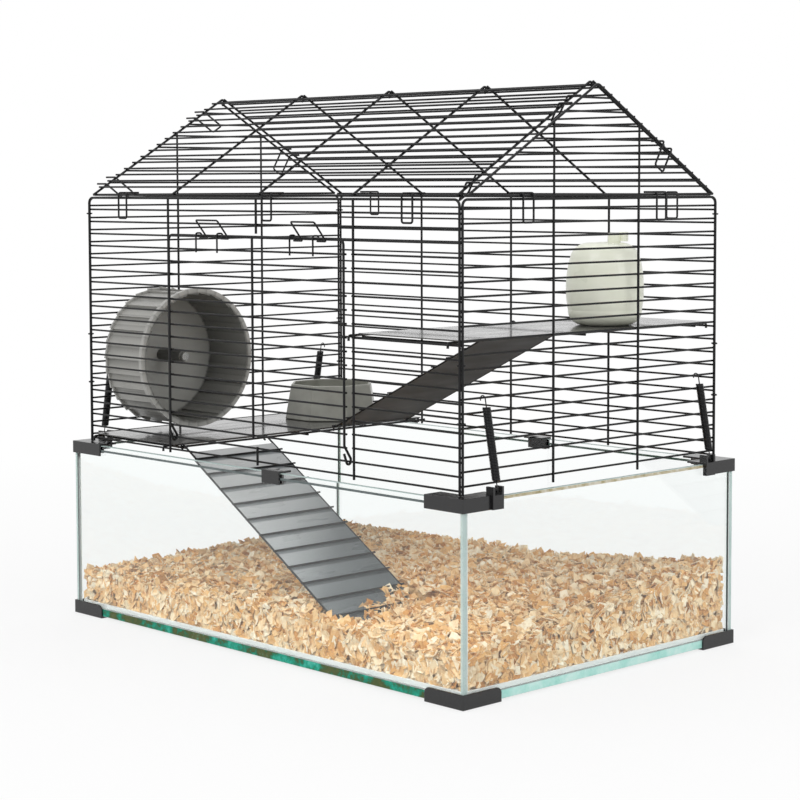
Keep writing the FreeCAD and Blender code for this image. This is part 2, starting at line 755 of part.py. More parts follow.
def gable(label, side):
    """A triangle of wire between the two slopes."""
    plane = side * value("gable_x")
    floor = value("gable_z")
    peak = value("ridge_z") + value("gable_offset") / math.cos(SLOPE)
    half = (peak - floor) / math.tan(SLOPE)
    thick = value("post_wire")
    apex = [Vector(plane, -half, floor), Vector(plane, 0, peak), Vector(plane, half, floor)]
    pieces = [frame_wire(apex)]
    pieces.append(rod("y", "gable_rod", 2 * half, (plane, -half, "gable_z")))
    for place in (-value("sixth_y"), value("sixth_y")):
        height = peak - abs(place) * math.tan(SLOPE) - floor
        pieces.append(rod("z", "gable_post", height, (plane, place, "gable_z")))
    inner = f"{side} * (gable_x - weld_step)"
    row = 1
    while floor + row * value("wire_pitch") < peak - 2 * thick:
        reach = (peak - floor - row * value("wire_pitch")) / math.tan(SLOPE)
        pieces.append(rod("y", "cross_wire", 2 * reach, (inner, -reach, f"gable_z + {row} * wire_pitch")))
        row += 1
    node(fuse(pieces), label)


gable("left_gable", -1)
gable("right_gable", 1)


# Wire clips: a square loop that hangs outside, its upper ends bent in over the rods.
def clip(crown, along, outward, hang):
    """A clip whose bent ends lie at crown, spread along the rods, with a loop that hangs from them."""
    bend = value("clip_wire") * 1.2
    corners = []
    for side in (-1, 1):
        top = crown + along * (side * value("clip_width") / 2)
        leg = [top - outward * value("clip_reach"), top, top + hang * value("clip_drop")]
        corners += leg if side < 0 else list(reversed(leg))
    return solid(tube(rounded(corners, bend), value("clip_wire")))


CLIP_OUT = (value("post_wire") + value("clip_wire")) / 2 + value("clip_clearance")
CLIP_LIFT = (value("post_wire") + value("clip_wire")) / 2 + value("clip_rest")
DOWN = Vector(0, 0, -1)


def eave_clips(side_y, places_x):
    """Clips that hang over an eave rod, outside a long wall."""
    crown_y = side_y * (value("wall_y") + CLIP_OUT)
    lift = CURL if side_y < 0 else WELD
    rod_z = value("ridge_z") - SLOPE_LENGTH * math.sin(SLOPE) + (lift - WELD) * math.cos(SLOPE)
    return [clip(Vector(x, crown_y, rod_z + CLIP_LIFT), AXIS_X, AXIS_Y * side_y, DOWN) for x in places_x]


def slope_clips(place, spots, inside):
    """Clips over a slope's end wires and the gables' rods, at spots (side, row), with loops in or out."""
    clips = []
    for side, row in spots:
        if inside:
            across = side * (ROOF_HALF - CLIP_OUT) + value("roof_stagger") / 2
            spot = Vector(across, row_down(row), CURL + CLIP_LIFT)
            outward = AXIS_X * -side
            swing = math.radians(value("clip_swing"))
        else:
            spot = Vector(side * (value("gable_x") + CLIP_OUT), row_down(row), WELD + CLIP_LIFT)
            outward = AXIS_X * side
            swing = 0
        hang = DOWN * math.cos(swing) + outward * math.sin(swing)
        turn = place.Rotation
        clips.append(clip(place.multVec(spot), turn.multVec(AXIS_Y), turn.multVec(outward), turn.multVec(hang)))
    return clips


def gable_clips():
    """Clips that join the right gable to the side wall under it."""
    crown_x = value("gable_x") + CLIP_OUT
    crown_z = value("gable_z") + (value("gable_rod") + value("clip_wire")) / 2 + value("clip_rest")
    half = value("gable_clip_spacing") / 2
    places_y = [value("gable_clip_shift") + side * half for side in (-1, 1)]
    return [clip(Vector(crown_x, place_y, crown_z), AXIS_Y, AXIS_X, DOWN) for place_y in places_y]


FRONT_EAVE = (-value("eave_clip_spacing"), value("eave_clip_middle"), value("eave_clip_spacing"))
BACK_EAVE = (-value("back_clip_spacing"), value("back_clip_spacing"))
FRONT_EDGE = [(side, row) for side in (-1, 1) for row in (1, ROOF_ROWS - 3)]
BACK_EDGE = [(side, ROOF_ROWS // 2 - 1) for side in (-1, 1)]
node(group(eave_clips(-1, FRONT_EAVE) + slope_clips(FRONT_SLOPE, FRONT_EDGE, inside=True)), "roof_clips")
node(group(eave_clips(1, BACK_EAVE) + slope_clips(BACK_SLOPE, BACK_EDGE, inside=False) + gable_clips()),
     "panel_clips")


def corner_ties():
    """Wire rings round each pair of corner posts."""
    radius = (value("post_wire") + value("tie_wire")) / 2 + value("tie_gap")
    rings = []
    for name, side_x, side_y in CORNERS:
        long_post = Vector(side_x * value("post_x"), side_y * value("wall_y"), 0)
        side_post = Vector(side_x * value("wall_x"), side_y * value("post_y"), 0)
        along = (side_post - long_post).normalize()
        out = AXIS_Z.cross(along)
        for row in TIE_ROWS:
            level = value("side_first") + row * value("wire_pitch")
            level += (value("wire_pitch") - value("side_stagger")) / 2
            first = long_post + AXIS_Z * level
            last = side_post + AXIS_Z * level
            path = [
                (first + out * radius, last + out * radius),
                arc(last, along, out, radius, 90, -90),
                (last - out * radius, first - out * radius),
                arc(first, along, out, radius, 270, 90 + FOOT_WRAP / 2),
            ]
            rings.append(solid(tube(path, value("tie_wire"))))
    node(group(rings), "corner_ties")


corner_ties()


# Door and its two latches.
DOOR_TOP = value("front_first") + DOOR_HEAD * value("wire_pitch") + value("door_top_lift")
SILL_Z = value("front_first") + DOOR_SILL * value("wire_pitch")
DOOR_HOOK = (value("cross_wire") + value("post_wire")) / 2 + value("door_hook_gap")
HOOK_TURN = 200.0


def door_leg(x):
    """From the hook's tip, round the sill wire from below, and up to the straight of the door's side."""
    sill = Vector(x, -value("wire_y"), SILL_Z)
    hook = arc(sill, AXIS_Y, AXIS_Z, DOOR_HOOK, -HOOK_TURN + 40, 0)
    tip_turn = math.radians(HOOK_TURN - 180)
    outward = Vector(0, -math.sin(tip_turn), math.cos(tip_turn))
    tip = hook[0] + outward * value("door_hook_tip")
    above = hook[2] + AXIS_Z * value("post_wire")
    straight = Vector(x, -value("door_y"), SILL_Z + value("door_hook_slant"))
    top = Vector(x, -value("door_y"), DOOR_TOP)
    slant = rounded([hook[2], above, straight, top], value("post_wire"))
    return [(tip, hook[0]), hook] + slant[:-1], slant[-1][0]


def door():
    """A bent frame with an upright in the middle and thin wires behind, hooked on the sill wire."""
    left, left_start = door_leg(value("door_left"))
    right, right_start = door_leg(value("door_right"))
    top_left = Vector(value("door_left"), -value("door_y"), DOOR_TOP)
    top_right = Vector(value("door_right"), -value("door_y"), DOOR_TOP)
    over = rounded([left_start, top_left, top_right, right_start], value("frame_bend"))
    pieces = [solid(tube(left + over + backwards(right), value("post_wire")))]
    first = f"front_first + {DOOR_SILL + 1} * wire_pitch - post_wire"
    pieces.append(rod("z", "post_wire", f"{DOOR_TOP} - ({first})", ("-door_shift", "-door_y", first)))
    for level in range(DOOR_SILL + 1, DOOR_HEAD):
        pieces.append(rod("x", "cross_wire", "door_right - door_left + post_wire",
                          ("door_left - post_wire / 2", "-door_y + weld_step",
                           f"front_first + {level} * wire_pitch")))
    node(fuse(pieces), "door")


door()


def latch(label, start_x):
    """A bent wire on the door's top bar: two hanging legs, a turn round the bar and a raised handle."""
    bar_y = -value("door_y")
    around = (value("post_wire") + value("latch_wire")) / 2 + value("latch_gap")
    step = value("latch_coil") / 4
    handle_y = bar_y - value("latch_reach")
    handle_z = DOOR_TOP + value("latch_rise")

    def side(x):
        return [
            Vector(x, bar_y - around, DOOR_TOP - value("latch_drop")),
            Vector(x, bar_y - around, DOOR_TOP + around),
            Vector(x + step, bar_y + around, DOOR_TOP + around),
            Vector(x + 2 * step, bar_y + around, DOOR_TOP - around),
            Vector(x + 3 * step, bar_y - around, DOOR_TOP - around),
            Vector(x + value("latch_run"), bar_y - around, DOOR_TOP - around),
            Vector(x + value("latch_run"), handle_y, handle_z),
        ]

    points = side(start_x) + list(reversed(side(start_x + value("latch_width"))))
    node(solid(tube(rounded(points, value("latch_wire")), value("latch_wire"))), label)


LATCH_MIDDLE = value("latch_shift")
latch("left_latch", LATCH_MIDDLE - value("latch_spacing") / 2 - value("latch_width") / 2)
latch("right_latch", LATCH_MIDDLE + value("latch_spacing") / 2 - value("latch_width") / 2)


# Lower platform and upper shelf: a sheet on wires whose ends hook over the long walls.
def hook_wire(x, level):
    """A wire across the cage whose ends pass through the walls and bend down outside."""
    reach = value("wall_y") + value("post_wire")
    drop = Vector(0, 0, -value("hook_drop"))
    points = [Vector(x, -reach, level), Vector(x, reach, level)]
    path = rounded([points[0] + drop, points[0], points[1], points[1] + drop], value("board_wire"))
    return solid(tube(path, value("board_wire")))


def board_ties(left, right, level):
    """Short wires under the long ones, which hold them together."""
    below = level - value("board_wire") + value("weld_sink")
    spread = value("wire_y") - value("clip_drop") / 2
    return [solid(Part.makeCylinder(value("board_wire") / 2, right - left, Vector(left, y, below), AXIS_X))
            for y in (-spread, 0, spread)]


def board(label, left, right, level):
    low_z = level + value("board_wire") / 2 + value("board_rest") / 2
    half = "(wire_y - cross_wire)"
    node(block((right - left, f"2 * {half}", "board_wall"), (left, f"-{half}", low_z)), label)


def platform():
    rod_x = value("platform_rod_x")
    outer = rod_x - value("platform_hook_outer")
    half = value("wire_y") - value("cross_wire")
    edge = Part.makeCylinder(value("board_wire") / 2, 2 * half, Vector(rod_x, -half, PLATFORM_WIRE_Z), AXIS_Y)
    hooks = [hook_wire(x, PLATFORM_WIRE_Z) for x in (outer, rod_x - value("platform_hook_inner"))]
    node(fuse([solid(edge)] + hooks + board_ties(outer, rod_x, PLATFORM_WIRE_Z)), "platform_wires")
    board("platform_board", -value("wire_x") + value("cross_wire"), rod_x - value("board_setback"), PLATFORM_WIRE_Z)


def shelf():
    rod_x = value("shelf_rod_x")
    outer = rod_x + value("shelf_hook_spread")
    hooks = [hook_wire(x, SHELF_WIRE_Z) for x in (rod_x, outer)]
    node(fuse(hooks + board_ties(rod_x, outer, SHELF_WIRE_Z)), "shelf_wires")
    board("shelf_board", rod_x + value("board_setback"), value("wire_x") - value("cross_wire"), SHELF_WIRE_Z)


platform()
shelf()

# Running wheel on an axle that is bolted through the left wall.
WHEEL_Z = f"(side_first + {WHEEL_ROW} * wire_pitch + wheel_row_lift)"
MOUNT_X = "(-wire_x + cross_wire / 2 + board_rest)"
WHEEL_BACK = "(-wall_x + wheel_stand_off)"
HUB_LENGTH = "(axle_length - wheel_stand_off + mount_wall - loose_gap)"


def turned(diameter, length, start_x):
    """A round piece on the wheel's axis."""
    return rod("x", diameter, length, (start_x, "wheel_place", WHEEL_Z))


def stepped(radius, start_x, length, lag):
    """A prism on the wheel's axis whose outline steps in and out like a ratchet, turned by lag."""
    count = int(math.pi * value("wheel_diameter") / value("wheel_tread_pitch"))
    corners = []
    for index in range(count):
        turn = 2 * math.pi * index / count + lag
        for reach in (radius - value("wheel_tread"), radius):
            corners.append(Vector(0, reach * math.sin(turn), reach * math.cos(turn)))
    centre_z = value("side_first") + WHEEL_ROW * value("wire_pitch") + value("wheel_row_lift")
    prism_solid = Part.Face(Part.makePolygon(corners + corners[:1])).extrude(AXIS_X * length)
    drum = solid(prism_solid)
    drum.Placement = Placement(Vector(start_x, value("wheel_place"), centre_z), Rotation())
    return drum


def wheel_drum():
    """A drum whose wall is stepped for the animal's feet, with a closed back and a flat front ring."""
    radius = value("wheel_diameter") / 2 - value("wheel_rim")
    shell = value("wheel_shell")
    back = -value("wall_x") + value("wheel_stand_off")
    width = value("wheel_width")
    wall_form = stepped(radius, back, width, 0)
    back_form = stepped(radius + value("wheel_rim"), back, value("wheel_rim"), 0)
    room = stepped(radius - shell, back + shell, width, shell / radius)
    ring = turned("wheel_diameter", "wheel_rim * 2", f"{WHEEL_BACK} + wheel_width - wheel_rim * 2")
    hole = turned("hub_diameter", "wheel_width", f"{WHEEL_BACK} - wheel_shell")
    node(cut(cut(fuse([wall_form, back_form, ring]), room), hole), "wheel_drum")


wheel_drum()
bush = turned("hub_diameter", HUB_LENGTH, WHEEL_BACK)
bush_bore = turned("axle_diameter + 2 * hub_gap", "wheel_width", f"{WHEEL_BACK} - wheel_shell")
node(cut(bush, bush_bore), "wheel_hub")
mount_plate = turned("mount_diameter", "mount_wall", MOUNT_X)
mount_bore = turned("axle_diameter", "2 * mount_wall", f"{MOUNT_X} - mount_wall / 2")
node(cut(mount_plate, mount_bore), "wheel_mount")
shaft = turned("axle_diameter", "axle_length", MOUNT_X)
stud = turned("stud_diameter", "2 * mount_wall + weld_step + post_wire + mount_wall",
              f"{MOUNT_X} - 2 * mount_wall - weld_step - post_wire")
node(fuse([shaft, stud]), "wheel_axle")
NUT_X = "(-wall_x - post_wire / 2 - board_rest - mount_wall)"
nut_plate = turned("mount_diameter * 0.7", "mount_wall", NUT_X)
nut_hole = turned("stud_diameter", "3 * mount_wall", f"{NUT_X} - mount_wall")
node(cut(nut_plate, nut_hole), "wheel_nut")
node(turned("screw_diameter", "screw_head", f"{MOUNT_X} + axle_length"), "wheel_screw")


# Food bowl and hideout, which stand loose on their boards.
def prism(radius_low, radius_high, low, high):
    """An eight-sided form that tapers upwards."""
    rings = []
    for radius, level in ((radius_low, low), (radius_high, high)):
        ring = doc.addObject("Part::RegularPolygon", "ring")
        ring.Polygon = 8
        ring.setExpression("Circumradius", bound(radius))
        ring.Placement = Placement(Vector(), Rotation(AXIS_Z, 22.5))
        seat(ring, ("bowl_x", "bowl_y", level))
        rings.append(ring)
    form = doc.addObject("Part::Loft", "form")
    form.Sections = rings
    form.Solid = True
    form.Ruled = True
    return form


BOARD_TOP = "board_wire / 2 + board_rest / 2 + board_wall + loose_gap"
BOWL_Z = f"({PLATFORM_WIRE_Z} + {BOARD_TOP})"
bowl_outer = prism("bowl_base", "bowl_mouth", BOWL_Z, f"{BOWL_Z} + bowl_height")
bowl_inner = prism("bowl_base - 2 * bowl_wall", "bowl_mouth - bowl_wall", f"{BOWL_Z} + 2 * bowl_wall",
                   f"{BOWL_Z} + bowl_height + bowl_wall / 100")
node(cut(bowl_outer, bowl_inner), "food_bowl")


def pot_form(inset):
    """A squat rounded jar turned about its own axis, smaller all round by inset."""
    height = value("pot_height")
    slant = inset * math.sqrt(0.5)
    foot = Vector(value("pot_foot"), 0, inset)
    flank = Vector(value("pot_flank") - inset, 0, value("pot_flank_rise"))
    belly = Vector(value("pot_belly") - inset, 0, value("pot_belly_rise"))
    shoulder = Vector(value("pot_shoulder") - inset, 0, height - value("pot_shoulder_drop"))
    crown = Vector(value("pot_crown"), 0, height - value("pot_crown_drop") - inset)
    heel = Vector(value("pot_flank") * 0.9 - slant, 0, value("pot_flank_rise") * 0.3 + slant)
    turn_in = Vector(value("pot_shoulder") * 0.82 - slant, 0, height - value("pot_shoulder_drop") * 0.35 - slant)
    low = Vector(0, 0, inset)
    high = Vector(0, 0, height - inset)
    profile = [
        Part.LineSegment(low, foot).toShape(),
        Part.Arc(foot, heel, flank).toShape(),
        Part.Arc(flank, belly, shoulder).toShape(),
        Part.Arc(shoulder, turn_in, crown).toShape(),
        Part.LineSegment(crown, high).toShape(),
        Part.LineSegment(high, low).toShape(),
    ]
    return Part.Face(Part.Wire(profile)).revolve(Vector(), AXIS_Z, 360)


def hideout_pot():
    """A hollow pot with a round doorway on the ramp's side, and a stem with a leaf on its lid."""
    body = cut(solid(pot_form(0)), solid(pot_form(value("pot_wall"))))
    doorway = rod("x", "pot_door", "pot_belly + pot_wall", ("-pot_belly - pot_wall", "0", "pot_wall + pot_door / 2"))
    stem = rod("z", "pot_stem", "pot_stem_rise + pot_wall / 2",
               ("pot_stem_offset", "pot_stem_offset", "pot_height - pot_wall / 2"))
    leaf = rod("z", "pot_leaf", "pot_leaf_rise",
               ("pot_leaf_offset", "pot_leaf_offset", "pot_height + pot_stem_rise * 1.1 - pot_leaf_rise"))
    pot = fuse([cut(body, doorway), stem, leaf])
    seat(pot, ("pot_x", "pot_y", f"{SHELF_WIRE_Z} + {BOARD_TOP}"))
    node(pot, "hideout_pot")


hideout_pot()


# Hold-down springs: a hook under the catch's pin, a wound body and a hook over a wall wire.
def biarc(start, start_heading, end, end_heading):
    """Two arcs that leave start and reach end along the given directions."""
    chord = end - start
    lean = start_heading + end_heading
    spare = 2 * (1 - start_heading.dot(end_heading))
    along = chord.dot(lean)
    reach = (-along + math.sqrt(along * along + spare * chord.dot(chord))) / spare
    joint = (start + end + (start_heading - end_heading) * reach) / 2

    def single(first, heading, last):
        span = last - first
        normal = (span - heading * span.dot(heading)).normalize()
        radius = span.dot(span) / (2 * span.dot(normal))
        centre = first + normal * radius
        half_way = ((first + last) / 2 - centre).normalize()
        return (first, centre + half_way * radius, last)

    middle_heading = (joint - (start + start_heading * reach)).normalize()
    return [single(start, start_heading, joint), single(joint, middle_heading, end)]


def self_gap(path, diameter, apart):
    """The least room between stretches of one wire that lie more than apart from each other along it."""
    step = diameter / 2
    points = []
    for run in path:
        edge = (Part.Arc(*run) if len(run) == 3 else Part.LineSegment(*run)).toShape()
        points += edge.discretize(max(2, math.ceil(edge.Length / step) + 1))[:-1]
    skip = math.ceil(apart / step)
    least = min((one - other).Length for index, one in enumerate(points) for other in points[index + skip:])
    return least - diameter


def spring(side_x, side_y, label):
    """One unbroken wire: lower hook, lead, close turns, lead and upper hook."""
    wire = value("spring_wire")
    radius = (value("spring_coil") - wire) / 2
    hook = value("spring_hook")
    pitch = value("spring_pitch")
    lead = value("spring_lead")
    place_y = side_y * (value("tank_depth") / 2 - value("guard_arm") + value("catch_length") / 2)
    pin = Vector(value("catch_pin_x"), 0, value("catch_pin_z"))
    wall_wire_z = value("side_first") + SPRING_ROW * value("wire_pitch")
    crown = value("cross_wire") / 2 + value("spring_seat_gap") + wire / 2
    top = Vector(value("wire_x") + value("spring_seat_gap"), 0, wall_wire_z + crown - hook)
    axis = (top - pin).normalize()
    inward = Vector(-axis.z, 0, axis.x)
    foot = pin - inward * hook
    head = top - inward * hook
    turns = int((head - foot).Length / pitch - 2 * lead / pitch)
    side = AXIS_Y
    slope = pitch / (2 * math.pi)

    def wound(angle):
        along = axis * (lead + slope * angle)
        return foot + along + inward * (radius * math.cos(angle)) + side * (radius * math.sin(angle))

    def heading(angle):
        around = side * (radius * math.cos(angle)) - inward * (radius * math.sin(angle))
        return (around + axis * slope).normalize()

    last = 2 * math.pi * turns
    low_lead = foot + axis * (lead - 2 * radius)
    high_lead = foot + axis * (lead + pitch * turns + 2 * radius)
    lower_hook = arc(pin, inward, axis, hook, -20, -180)
    upper_hook = arc(top, inward, axis, hook, 180, -20)
    path = [lower_hook, (lower_hook[2], low_lead)]
    path += biarc(low_lead, axis, wound(0), heading(0))
    for step in range(2 * turns):
        begin = math.pi * step
        path += biarc(wound(begin), heading(begin), wound(begin + math.pi), heading(begin + math.pi))
    path += biarc(wound(last), heading(last), high_lead, axis)
    path += [(high_lead, upper_hook[0]), upper_hook]
    turn = Rotation(AXIS_Z, 0 if side_x > 0 else 180)
    placed = moved(path, lambda point: turn.multVec(point) + AXIS_Y * place_y)
    node(solid(tube(placed, wire)), label)
    return turns, self_gap(path, wire, math.pi * radius)


for corner_name, corner_x, corner_y in CORNERS:
    turns, gap = spring(corner_x, corner_y, corner_name + "_spring")
    print(corner_name, "spring turns", turns, "least gap between turns", round(gap, 2))

doc.recompute()

faults = []
for piece in doc.Objects:
    if "Invalid" in piece.State or "Error" in piece.State:
        faults.append(piece.Label)
for piece in NODES:
    if piece.Shape.isNull() or not piece.Shape.isValid():
        faults.append(piece.Label)
if faults:
    raise RuntimeError("failed pieces: " + ", ".join(sorted(set(faults))))

os.makedirs("parts", exist_ok=True)
for piece in NODES:
    piece.Shape.exportStep(os.path.join("parts", piece.Label + ".step"))
    print(piece.Label, len(piece.Shape.Solids), round(piece.Shape.Volume, 1))
whole = Part.makeCompound([piece.Shape for piece in NODES]).BoundBox
print("box", [round(number, 2) for number in (whole.XMin, whole.YMin, whole.ZMin, whole.XMax, whole.YMax, whole.ZMax)])
print("nodes", len(NODES))
print("joint places: sill", -value("wire_y"), SILL_Z, "door bar", -value("door_y"), DOOR_TOP)
print("ridge", value("ridge_z"), "platform rod", value("platform_rod_x"), PLATFORM_WIRE_Z,
      "shelf rod", value("shelf_rod_x"), SHELF_WIRE_Z, "upper fall", UPPER_FALL, "ramp", RAMP_LENGTH)
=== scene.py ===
# %% [markdown]
# A glass hamster cage: a low glass tank full of wood shavings, and a gabled wire house on its rim.
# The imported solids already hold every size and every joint, so this lesson only dresses them.
# We load them first and keep their box, because the dressed model has to stay inside it.

# %% Load the frame
import json
import math
import random

import bmesh
import bpy
from mathutils import Matrix, Vector, noise


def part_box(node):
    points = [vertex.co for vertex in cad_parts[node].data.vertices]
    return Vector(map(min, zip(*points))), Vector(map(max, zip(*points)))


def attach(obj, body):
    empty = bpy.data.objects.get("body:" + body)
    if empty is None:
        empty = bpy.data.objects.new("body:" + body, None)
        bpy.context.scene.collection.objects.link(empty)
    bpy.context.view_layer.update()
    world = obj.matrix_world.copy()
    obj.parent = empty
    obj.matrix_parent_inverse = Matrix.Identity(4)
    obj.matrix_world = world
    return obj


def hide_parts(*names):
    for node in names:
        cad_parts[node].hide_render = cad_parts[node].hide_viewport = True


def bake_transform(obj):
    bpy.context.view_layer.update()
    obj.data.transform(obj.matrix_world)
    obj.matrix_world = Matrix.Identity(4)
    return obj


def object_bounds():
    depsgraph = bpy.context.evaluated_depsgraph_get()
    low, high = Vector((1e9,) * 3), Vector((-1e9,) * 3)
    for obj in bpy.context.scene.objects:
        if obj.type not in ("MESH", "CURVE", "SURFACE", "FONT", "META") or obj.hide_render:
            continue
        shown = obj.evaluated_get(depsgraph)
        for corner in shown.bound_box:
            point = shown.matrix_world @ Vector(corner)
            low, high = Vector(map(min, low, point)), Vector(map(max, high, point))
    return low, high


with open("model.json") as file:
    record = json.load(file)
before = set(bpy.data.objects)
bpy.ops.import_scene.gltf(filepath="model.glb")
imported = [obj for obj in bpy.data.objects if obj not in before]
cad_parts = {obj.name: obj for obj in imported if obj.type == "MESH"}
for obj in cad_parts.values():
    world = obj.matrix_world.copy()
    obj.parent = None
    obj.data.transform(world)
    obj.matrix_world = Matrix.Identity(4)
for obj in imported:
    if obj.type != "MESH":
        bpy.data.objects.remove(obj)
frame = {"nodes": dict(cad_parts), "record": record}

CAD_LOW, CAD_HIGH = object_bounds()
scene = bpy.context.scene
NODES = frame["nodes"]
MM = 0.001
print("solids:", len(NODES), "box:", [round(side, 3) for side in CAD_HIGH - CAD_LOW])

# %% [markdown]
# The camera. The photograph was taken from the front right corner, a little above the rim, with a
# long lens. A camera can be placed by eye, but straight edges that run along the three directions
# of a box fix it better: these numbers come from fitting the corners of the tank and the house.
# The small shift keeps the upright wires upright, as the photograph shows them.

# %% Camera
VIEW_AZIMUTH, VIEW_ELEVATION, VIEW_ROLL = (math.radians(angle) for angle in (46.351, 3.782, 0.160))
ahead = Vector((
    -math.sin(VIEW_AZIMUTH) * math.cos(VIEW_ELEVATION),
    math.cos(VIEW_AZIMUTH) * math.cos(VIEW_ELEVATION),
    -math.sin(VIEW_ELEVATION),
))
camera = bpy.data.objects.new("camera", bpy.data.cameras.new("camera"))
scene.collection.objects.link(camera)
camera.location = (1.56900, -1.48394, 0.46919)
level = ahead.to_track_quat("-Z", "Y").to_matrix()
camera.rotation_euler = (level @ Matrix.Rotation(-VIEW_ROLL, 3, "Z")).to_euler()
camera.data.sensor_width = 36.0
camera.data.lens = 92.606
camera.data.shift_y = -0.1
camera.data.clip_start, camera.data.clip_end = 0.1, 50.0
scene.camera = camera
scene.view_settings.view_transform = "Standard"
print("camera:", [round(part, 3) for part in camera.location], "lens", camera.data.lens)

# %% [markdown]
# The studio. Every ray that looks straight at the world, or reaches it through glass or off a
# glossy wire, finds plain white. The light that falls on the cage is softer than that, so colours
# come out as they are written. The floor is a pale disc whose edge melts into the white, and near
# the cage it stays a real surface that keeps a faint shadow.


# %% World, floor and lamps
def seen_rays(tree):
    """A value of 1 for camera, glossy and transmission rays."""
    path = tree.nodes.new("ShaderNodeLightPath")
    either = tree.nodes.new("ShaderNodeMath")
    either.operation = "MAXIMUM"
    any_of = tree.nodes.new("ShaderNodeMath")
    any_of.operation = "MAXIMUM"
    tree.links.new(path.outputs["Is Camera Ray"], either.inputs[0])
    tree.links.new(path.outputs["Is Glossy Ray"], either.inputs[1])
    tree.links.new(either.outputs[0], any_of.inputs[0])
    tree.links.new(path.outputs["Is Transmission Ray"], any_of.inputs[1])
    return any_of.outputs[0]


WORLD_LIGHT = 0.62
world = bpy.data.worlds.new("studio")
scene.world = world
world.use_nodes = True
tree = world.node_tree
tree.nodes.clear()
soft_light = tree.nodes.new("ShaderNodeBackground")
soft_light.inputs["Strength"].default_value = WORLD_LIGHT
white = tree.nodes.new("ShaderNodeBackground")
for background in (soft_light, white):
    background.inputs["Color"].default_value = (1, 1, 1, 1)
chosen = tree.nodes.new("ShaderNodeMixShader")
tree.links.new(seen_rays(tree), chosen.inputs["Fac"])
tree.links.new(soft_light.outputs[0], chosen.inputs[1])
tree.links.new(white.outputs[0], chosen.inputs[2])
tree.links.new(chosen.outputs[0], tree.nodes.new("ShaderNodeOutputWorld").inputs["Surface"])

FLOOR_REACH = 3.0
FLOOR_GAP = 0.5 * MM
disc = bmesh.new()
bmesh.ops.create_circle(disc, cap_ends=True, segments=96, radius=FLOOR_REACH)
floor_mesh = bpy.data.meshes.new("floor")
disc.to_mesh(floor_mesh)
disc.free()
floor = bpy.data.objects.new("floor", floor_mesh)
scene.collection.objects.link(floor)
floor.location.z = CAD_LOW.z - FLOOR_GAP

paper = bpy.data.materials.new("studio_floor")
paper.use_nodes = True
tree = paper.node_tree
tree.nodes.clear()
matt = tree.nodes.new("ShaderNodeBsdfDiffuse")
matt.inputs["Color"].default_value = (0.86, 0.86, 0.86, 1)
glow = tree.nodes.new("ShaderNodeEmission")
place = tree.nodes.new("ShaderNodeTexCoord")
away = tree.nodes.new("ShaderNodeVectorMath")
away.operation = "LENGTH"
melt = tree.nodes.new("ShaderNodeMapRange")
melt.inputs["From Min"].default_value = 0.35
melt.inputs["From Max"].default_value = 1.5
melt.inputs["To Min"].default_value = 0.78
melt.inputs["To Max"].default_value = 1.0
share = tree.nodes.new("ShaderNodeMath")
share.operation = "MULTIPLY"
blend = tree.nodes.new("ShaderNodeMixShader")
tree.links.new(place.outputs["Object"], away.inputs[0])
tree.links.new(away.outputs["Value"], melt.inputs["Value"])
tree.links.new(melt.outputs[0], share.inputs[0])
tree.links.new(seen_rays(tree), share.inputs[1])
tree.links.new(share.outputs[0], blend.inputs["Fac"])
tree.links.new(matt.outputs[0], blend.inputs[1])
tree.links.new(glow.outputs[0], blend.inputs[2])
tree.links.new(blend.outputs[0], tree.nodes.new("ShaderNodeOutputMaterial").inputs["Surface"])
floor.data.materials.append(paper)

CAGE_MIDDLE = Vector((0, 0, 0.25))


def lamp(name, spot, side, watts):
    """A square soft lamp that faces the middle of the cage."""
    light = bpy.data.lights.new(name, "AREA")
    light.size = side
    light.energy = watts
    stand = bpy.data.objects.new(name, light)
    scene.collection.objects.link(stand)
    stand.location = spot
    stand.rotation_euler = (CAGE_MIDDLE - Vector(spot)).to_track_quat("-Z", "Y").to_euler()


lamp("key_lamp", (0.5, -2.6, 2.2), 1.6, 36)
lamp("side_lamp", (2.6, 0.4, 1.6), 1.4, 16)
lamp("top_lamp", (-0.6, 0.6, 2.8), 1.8, 16)
print("floor radius", FLOOR_REACH, "m, lamps 3, world", WORLD_LIGHT)

# %% [markdown]
# Finishes start from one helper. It makes a Principled material, sets what is the same all over
# straight on the shader's sockets, and hands back the node tree for what varies. Fine variation
# comes from noise on Object coordinates, which stay put because every piece sits at the origin.


